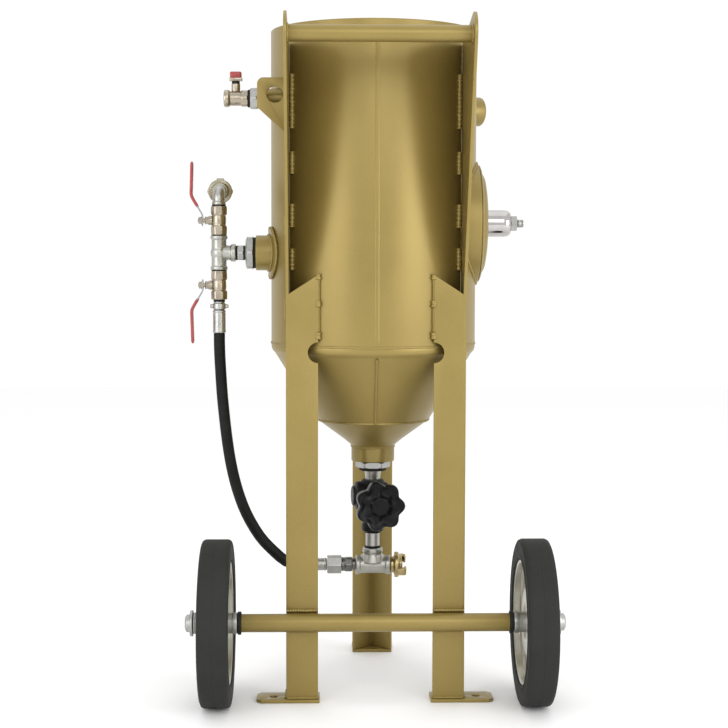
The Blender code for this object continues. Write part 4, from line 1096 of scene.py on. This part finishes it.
def makeManifold():
    inlet = {
        "z": 0.8465, "boss": 0.034, "pad": 0.048, "face": 0.2287, "x": -0.3005,
        "bushing": mm(
            (14.5, 205.2), (20.5, 205.2), (20.5, 234.2), (33.5, 234.2), (34.5, 235.6), (34.5, 244), (31.5, 246.2),
            (25.5, 248.7), (14.5, 248.7),
        ),
        "nipple": mm(
            (9, 249), (13, 249), (13, 252.4), (15, 253.2), (15.8, 254.2), (15.8, 262.8), (15, 264), (13, 264.8),
            (13, 267.5), (9, 267.5),
        ),
    }
    centre = Vector((0, inletY, inlet["z"]))
    pad = bar("pad", inlet["pad"], 0.150, 0.230, goldPaint, centre, -xWay, 96, 0)
    carve(pad, "INTERSECT", insideTank(0.0055))
    boss = bar("inletBoss", inlet["boss"], 0.150, inlet["face"], goldPaint, centre, -xWay, 96, 0.0014)
    carve(boss, "UNION", pad)
    carve(boss, "DIFFERENCE", insideTank(), drill(0.0215, 0.10, 0.30, centre, -xWay, 64))
    keep(boss)
    edges = ((inlet["pad"], 0.0030), (inlet["boss"], 0.0064))
    rings = [saddlePath(inletY, inlet["z"], radius, -1, lift) for radius, lift in edges]
    weld("inletWelds", rings, 0.0028, 31, 0.0042, 0.14, 0.0009)

    fit("inletBushing", inlet["bushing"], zincPlate, centre, -xWay, 96, 0.0006, [(6, 0.0306, 0.2343, 0.2460)])
    keep(tube("inletSeal", 0.0300, 0.0208, 0.2289, 0.2341, sealRubber, centre, -xWay, 96, 0.0012))
    fit("inletNipple", inlet["nipple"], zincPlate, centre, -xWay, 96, 0.0004, [(6, 0.0142, 0.2530, 0.2642)])
    sealant("nippleSealNear", 0.0140, 0.2489, 0.2531, centre, -xWay)
    sealant("nippleSealFar", 0.0140, 0.2644, 0.2676, centre, -xWay)

    hub = Vector((inlet["x"], inletY, inlet["z"]))
    run = turned("run", mm(
        (0, -33.4), (15.2, -33.4), (16.7, -32), (16.7, -27.2), (14.6, -25.6), (14.4, 25.6), (16.7, 27.2),
        (16.7, 32), (15.2, 33.4), (0, 33.4),
    ), castZinc, hub, zWay, 72)
    branch = turned("branch", mm(
        (0, 0), (14.2, 0), (14.4, 22.6), (17.2, 24), (17.4, 30), (16.8, 32.6), (0, 32.6),
    ), castZinc, hub, xWay, 72)
    belly = turned("belly", mm(
        (0, -16.6),
    ) + arc((0, 0), 0.0166, -80, 80, 15) + mm(
        (0, 16.6),
    ), castZinc, hub, zWay, 64)
    keep(cast("inletTee", [run, branch, belly], castZinc, 0.0009, 5))

    stack = Vector((inlet["x"], inletY, 0))
    ballValve("upper", stack + zWay * 0.9088, 1)
    ballValve("lower", stack + zWay * 0.7838, -1)
    sealant("upperValveSeal", 0.0148, 0.8792, 0.8816, stack, zWay)
    sealant("lowerValveSeal", 0.0148, 0.8112, 0.8136, stack, zWay)
    sealant("elbowSeal", 0.0136, 0.9360, 0.9392, stack, zWay)

    bend = 0.018
    corner = arc((bend, 0.9665 - bend), bend, 180, 90, 14)
    line = [Vector((inlet["x"], inletY, 0.9385))] + [Vector((inlet["x"], inletY + y, z)) for y, z in corner]
    line += [Vector((inlet["x"], inletY + 0.0300, 0.9665))]
    pipe = swept("pipe", line, circleOf(0.0118, 40), castZinc)
    low = bar("band", 0.0134, 0.9390, 0.9452, castZinc, stack, zWay, 64, 0.0012)
    far = bar("band", 0.0134, 0.0225, 0.0302, castZinc, Vector((inlet["x"], inletY, 0.9665)), yWay, 64, 0.0012)
    keep(cast("upperElbow", [pipe, low, far], castZinc, 0.0008, 5))
    base = Vector((inlet["x"], inletY + 0.0303, 0.9665))
    clawCoupling("clawCoupling", base, yWay, 0.0237, 0.0075, pi / 2, agedBrass)
    print("manifold ready")


def makeHoseUnion():
    base = Vector((-0.3005, inletY, 0))
    nut = turned("unionNut", mm(
        (7, 736.1), (10.8, 736.1), (12.2, 737.6), (12.5, 739), (12.5, 747), (11.8, 748.6), (10.4, 750),
        (10.4, 755.6), (7, 755.6),
    ), zincPlate, base, zWay, 72)
    ears = bar("ears", 0.0040, -0.0180, 0.0180, zincPlate, base + zWay * 0.7428, xWay, 40, 0.0018)
    carve(ears, "DIFFERENCE", drill(0.0090, 0.70, 0.80, base, zWay, 48))
    keep(cast("hoseUnionNut", [nut, ears], zincPlate, 0.0007, 3))
    sealant("unionSeal", 0.0112, 0.7515, 0.7557, base, zWay)


# Exhaust valve and its bracket

def makeExhaust():
    exhaust = {
        "y": tankY - 0.085, "z": 1.138, "boss": 0.0190, "reach": 0.2640,
        "bushing": mm(
            (7, 223.3), (20.5, 223.3), (21.8, 224.4), (21.8, 234), (19, 236.6), (15, 236.8), (15, 241), (7, 241),
        ),
    }
    centre = Vector((0, exhaust["y"], exhaust["z"]))
    boss = bar("exhaustBoss", exhaust["boss"], 0.150, 0.2230, goldPaint, centre, -xWay, 72, 0.0012)
    carve(boss, "DIFFERENCE", insideTank(), drill(0.0110, 0.10, 0.30, centre, -xWay, 48))
    keep(boss)
    weld("exhaustWeld", [saddlePath(exhaust["y"], exhaust["z"], exhaust["boss"] + 0.0008, -1, 0.0006)], 0.0028, 37)
    fit("exhaustBushing", exhaust["bushing"], zincPlate, centre, -xWay, 96, 0.0005, [(6, 0.0192, 0.2233, 0.2350)])
    sealant("exhaustSeal", 0.0166, 0.2369, 0.2412, centre, -xWay)
    spot = centre - xWay * exhaust["reach"]
    body = turned("exhaustValveBody", mm(
        (7, -22.7), (15.2, -22.7), (16.2, -21.5), (16.3, -13), (15, -10.6), (13.6, -9.4), (13.9, 0), (13.6, 9.4),
        (14.2, 11.2), (16.2, 13.6), (16.4, 18.8), (15.4, 21.8), (13.4, 22.7), (7, 22.7),
    ) + valvePocket, nickelPlate, spot, -xWay, 96, 0.0008, [(6, 0.0150, -0.0230, -0.0108)])
    hexed = [(6, 0.0072, 0.0195, 0.0272)]
    carve(body, "UNION", bar("bonnet", 0.0082, 0.0124, 0.0272, nickelPlate, spot, zWay, 64, 0.0010, hexed))
    carve(body, "DIFFERENCE", drill(0.0046, 0.0050, 0.0400, spot, zWay, 40))
    keep(body)
    keep(tube("exhaustGland", 0.0076, 0.0046, 0.0274, 0.0322, sealRubber, spot, zWay, 56, 0.0008))
    ball = valveBall(0.0380, spot, zWay, xWay)
    plate = block("plate", (-0.0125, -0.0056, 0.0326), (0.0125, 0.0056, 0.0392), zincPlate, 0.0012)
    keep(joined("exhaustStem", [ball, moved(plate, Matrix.Translation(spot))]), "exhaust_valve_handle")
    grip = block("exhaustGrip", (-0.0110, -0.0074, 0.0384), (0.0110, 0.0074, 0.0503), redDip, 0.0026)
    roundEdges(moved(grip, Matrix.Translation(spot)), 0.0006, 2, 20)
    keep(grip, "exhaust_valve_handle", "exhaust_handle")

    near = tankY - 0.128
    outline = mm(
        (-222.4, 1118.6),
    ) + arc((-0.2104, 1.1616), 0.012, 180, 90, 12) + mm(
        (-168.3, 1173.6), (-168.3, 1069),
    )
    bracket = prism("exhaustBracket", outline, near, near + 0.006, goldPaint, "XZ", 0)
    hole = drill(0.0155, -0.02, 0.02, Vector((-0.1887, near, 1.142)), yWay, 72)
    carve(bracket, "DIFFERENCE", hole)
    keep(roundEdges(bracket, 0.0009, 3))
    edge = [[(-0.1690, near - 0.0004, height) for height in pair] for pair in ((1.078, 1.105), (1.150, 1.171))]
    weld("bracketWelds", edge, 0.0030, 39, 0.0045)
    print("exhaust ready")


# Metering valve and outlet

def makeOutlet():
    outlet = {
        "knobHeight": 0.3580, "knobLean": radians(8.3), "teeHeight": 0.2280, "hoseHeight": 0.2290,
        "flange": mm(
            (13, 424.2), (32.5, 424.2), (34.3, 425.6), (34.3, 433.6), (32.5, 435.4), (24, 435.6), (24, 455),
            (13, 455),
        ),
        "neck": mm((11, 398), (14.6, 398), (15, 404), (17, 417.8), (15.8, 420), (11, 420)),
        "spindle": mm((0, -9), (7, -6.2), (10.5, -3), (10.5, 2), (6.2, 4), (6.2, 74), (0, 74)),
        "nipple": mm(
            (10.5, 264), (13, 264), (13, 266.2), (13.8, 266.8), (13.8, 293), (13, 293.6), (13, 295.7),
            (10.5, 295.7),
        ),
        "nut": mm((9, 62), (17.6, 62), (19.4, 63.4), (19.4, 88.9), (17.6, 90.3), (9, 90.3)),
        "adaptor": mm(
            (8, 34), (11.5, 34), (11.5, 40.2), (14.2, 41), (15, 42), (15, 53), (14, 54.5), (13.6, 58.5), (14.2, 60),
            (13.4, 61.7), (8, 61.7),
        ),
    }
    fit("outletBushing", outlet["flange"], zincPlate, tankAxis, zWay, 96, 0.0006, [(6, 0.0306, 0.4240, 0.4356)])
    keep(tube("outletSeal", 0.0272, 0.0160, 0.4178, 0.4241, sealRubber, tankAxis, zWay, 72, 0.0016))
    # painted shade: a thin black rubber ring sits in the gap between the bushing hex and the collar, so that the
    # gap reads dark
    keep(tube("collarSeal", 0.0262, 0.0242, 0.4354, 0.4376, sealRubber, tankAxis, zWay, 72, 0.0005))
    fit("outletNipple", outlet["neck"], castZinc, tankAxis, zWay, 72, 0.0005)

    lean = outlet["knobLean"]
    centre = tankAxis + zWay * outlet["knobHeight"]
    knobWay = Vector((sin(lean), -cos(lean), 0))
    side = Vector((-cos(lean), -sin(lean), 0))
    core = turned("core", mm(
        (0, 296), (20.5, 296), (22.2, 298), (22.2, 309), (20, 313), (20, 329), (23.5, 333), (23.5, 380),
        (20.5, 385), (20.5, 390), (22.8, 391.5), (22.8, 397.5), (21.5, 399), (0, 399),
    ), blackIron, tankAxis, zWay, 72)
    barrel = turned("barrel", mm(
        (0, -30), (23.5, -30), (26.2, -28), (27.5, -20), (26.2, 18), (28.2, 20), (28.2, 32.5), (25.8, 35),
        (20, 36.5), (20, 40), (18, 41.5), (0, 41.5),
    ), blackIron, centre + zWay * 0.0090, side, 72)
    bonnet = turned("bonnet", mm(
        (0, 0), (26.2, 0), (26.2, 29), (25, 30.5), (18.2, 31), (18, 55), (16.8, 56), (0, 56),
    ), blackIron, centre, knobWay, 72)
    body = cast("meteringBody", [core, barrel, bonnet], blackIron, 0.0011, 5)
    passage = drill(0.0118, 0.28, 0.42, tankAxis, zWay, 48)
    pocket = turned("pocket", mm(
        (0, 1.1), (11.3, 1.1), (11.3, 30), (7.4, 32), (7.4, 70), (0, 70),
    ), blackIron, centre, knobWay, 44, 0)
    carve(body, "DIFFERENCE", passage, pocket, sharpAngle=60)
    keep(body)
    hexed = [(6, 0.0025, 0.03, 0.04)]
    screw = bar("screw", 0.0030, 0.0302, 0.0335, zincPlate, Vector((0.0218, 0, 0)), zWay, 24, 0.0004, hexed)
    screws = grow(screw, copiesRound, {"Count": 4, "Start": pi / 4, "Material": zincPlate})
    screws.name = "bonnetScrews"
    keep(moved(screws, placing(centre, knobWay)))

    rod = turned("rod", outlet["spindle"], zincPlate, centre, knobWay, 48, 0.0004)
    ridge = thread("ridge", 0.0060, 0.0300, 0.0550, zincPlate, centre, knobWay, 0.0022, 0.0009)
    keep(joined("meteringSpindle", [rod, ridge]), "plunger")
    makeKnob(centre, knobWay)

    fit("lowerNipple", outlet["nipple"], zincPlate, tankAxis, zWay, 72, 0.0003)
    sealant("lowerNippleSeal", 0.0150, 0.2632, 0.2668, tankAxis, zWay)
    sealant("meteringSeal", 0.0150, 0.2926, 0.2960, tankAxis, zWay)

    hub = tankAxis + zWay * outlet["teeHeight"]
    run = turned("run", mm(
        (0, -33.7), (17.6, -33.7), (19.2, -32.5), (19.2, -26.2), (17, -24), (16.8, 24), (19.2, 26.2),
        (19.2, 34.2), (17.6, 35.4), (0, 35.4),
    ), castZinc, hub, xWay, 80)
    branch = turned("branch", mm(
        (0, 0), (23, 6), (20.5, 15), (17.8, 22.5), (18.2, 24.5), (20, 26.2), (20, 33.8), (18.6, 35.1), (0, 35.1),
    ), castZinc, hub, zWay, 80)
    gusset = turned("gusset", mm((0, 0), (32.5, 0), (32.5, 10.5), (30, 14), (16, 25), (0, 25)), castZinc, steps=80)
    gusset = moved(gusset, Matrix.Translation(hub) @ Matrix.Scale(0.40, 4, yWay))
    keep(cast("outletTee", [run, branch, gusset], castZinc, 0.0010, 6))
    clawCoupling("blastCoupling", hub + xWay * 0.0357, xWay, 0.0255, 0.0120, radians(25), castBrass)

    level = tankAxis + zWay * outlet["hoseHeight"]
    fit("hoseSwivelNut", outlet["nut"], zincPlate, level, -xWay, 96, 0.0005, [(6, 0.0171, 0.06, 0.10)])
    fit("hoseAdaptor", outlet["adaptor"], agedZinc, level, -xWay, 96, 0.0004, [(6, 0.0138, 0.0408, 0.0535)])
    print("outlet ready")


def makeKnob(centre, way):
    # seven lobes that fade towards a raised hub, with folds running out to the hollows
    knob = {"lobes": 7, "radius": 0.049, "steps": 224}
    # part of the radius, height and fold, with the last two in millimetres
    rows = [
        (0, 66.5, 0), (0.36, 66.5, 0), (0.4, 70, 0), (0.62, 70.5, 0), (0.84, 69, 0), (0.9, 66.4, 0),
        (0.955, 66.8, 0), (0.985, 69, 0), (1, 73, 0), (1, 85, 0), (0.99, 88.5, 0), (0.965, 91.2, 0),
        (0.93, 92.6, 0), (0.88, 92.4, 0), (0.8, 90.5, 0.6), (0.7, 88.8, 1.3), (0.58, 88, 1.6),
        (0.48, 88.4, 1.2), (0.41, 90, 0.6), (0.37, 92.5, 0.2), (0.33, 93.7, 0), (0.27, 94, 0), (0.15, 93.8, 0),
        (0, 93.8, 0),
    ]
    bm = bmesh.new()
    rings = []
    for part, height, fold in rows:
        if part == 0:
            rings.append([bm.verts.new((0, 0, height / 1000))])
            continue
        row = []
        for k in range(knob["steps"]):
            angle = 2 * pi * k / knob["steps"]
            swell = (0.5 + 0.5 * cos(knob["lobes"] * angle)) ** 0.75
            reach = knob["radius"] * part * (1 - 0.17 * (1 - swell) * part**2)
            lift = (height + fold * cos(knob["lobes"] * angle)) / 1000
            row.append(bm.verts.new((reach * cos(angle), reach * sin(angle), lift)))
        rings.append(row)
    skin(bm, zip(rings, rings[1:]), knob["steps"])
    disc = pieceFrom(bm, "disc", knobPlastic, 50)
    hub = tube("hub", 0.0150, 0.0077, 0.0565, 0.0672, knobPlastic, steps=72)
    carve(disc, "DIFFERENCE", bar("bore", 0.0075, 0.0500, 0.0875, knobPlastic, steps=56, edge=0), sharpAngle=50)
    thing = joined("meteringKnob", [disc, hub])
    keep(moved(thing, placing(centre, way)), "knob")


makeManifold()
makeHoseUnion()
makeExhaust()
makeOutlet()


# Inner pieces that keep their CAD shape

for part in frame["record"]["subparts"]:
    for place in frame["nodes"][part["node"]].material_slots:
        place.material = finishOf[part["material_slot"]]
print("inner pieces ready")


# Stage and light

def makeStage():
    floor = {"size": 14.0, "tone": (0.95, 0.95, 0.95), "rough": 0.8}
    studio = {"glow": 1.02}
    bpy.ops.mesh.primitive_plane_add(size=floor["size"], location=(0, 0, -0.0002))
    plane = bpy.context.object
    plane.name = "stageFloor"
    material = bpy.data.materials.new("stagePaper")
    material.use_nodes = True
    shader = material.node_tree.nodes["Principled BSDF"]
    shader.inputs["Base Color"].default_value = (*floor["tone"], 1)
    shader.inputs["Roughness"].default_value = floor["rough"]
    plane.data.materials.append(material)
    world = bpy.data.worlds.new("studio")
    world.use_nodes = True
    backdrop = world.node_tree.nodes["Background"]
    backdrop.inputs["Color"].default_value = (1, 1, 1, 1)
    backdrop.inputs["Strength"].default_value = studio["glow"]
    bpy.context.scene.world = world
    bpy.context.scene.view_settings.view_transform = "Standard"


def makeLights():
    boxes = (
        {"name": "leftBox", "at": (-2.6, -2.5, 1.35), "aim": (0, 0, 0.85), "size": 2.2, "power": 42},
        {"name": "rightBox", "at": (2.6, -2.5, 1.35), "aim": (0, 0, 0.85), "size": 2.2, "power": 56},
        {"name": "frontBox", "at": (0.3, -3.9, 2.6), "aim": (0, 0, 1.0), "size": 2.0, "power": 25},
        {"name": "topBox", "at": (0, 0.4, 3.2), "aim": (0, 0, 0.6), "size": 2.6, "power": 10},
    )
    for box in boxes:
        light = bpy.data.lights.new(box["name"], "AREA")
        light.energy = box["power"]
        light.size = box["size"]
        lamp = bpy.data.objects.new(box["name"], light)
        lamp.location = box["at"]
        lamp.rotation_euler = (Vector(box["aim"]) - Vector(box["at"])).to_track_quat("-Z", "Y").to_euler()
        bpy.context.scene.collection.objects.link(lamp)


makeStage()
makeLights()

total = 0
for thing in made:
    thing.data.calc_loop_triangles()
    total += len(thing.data.loop_triangles)
print("pieces", len(made), "triangles", total)
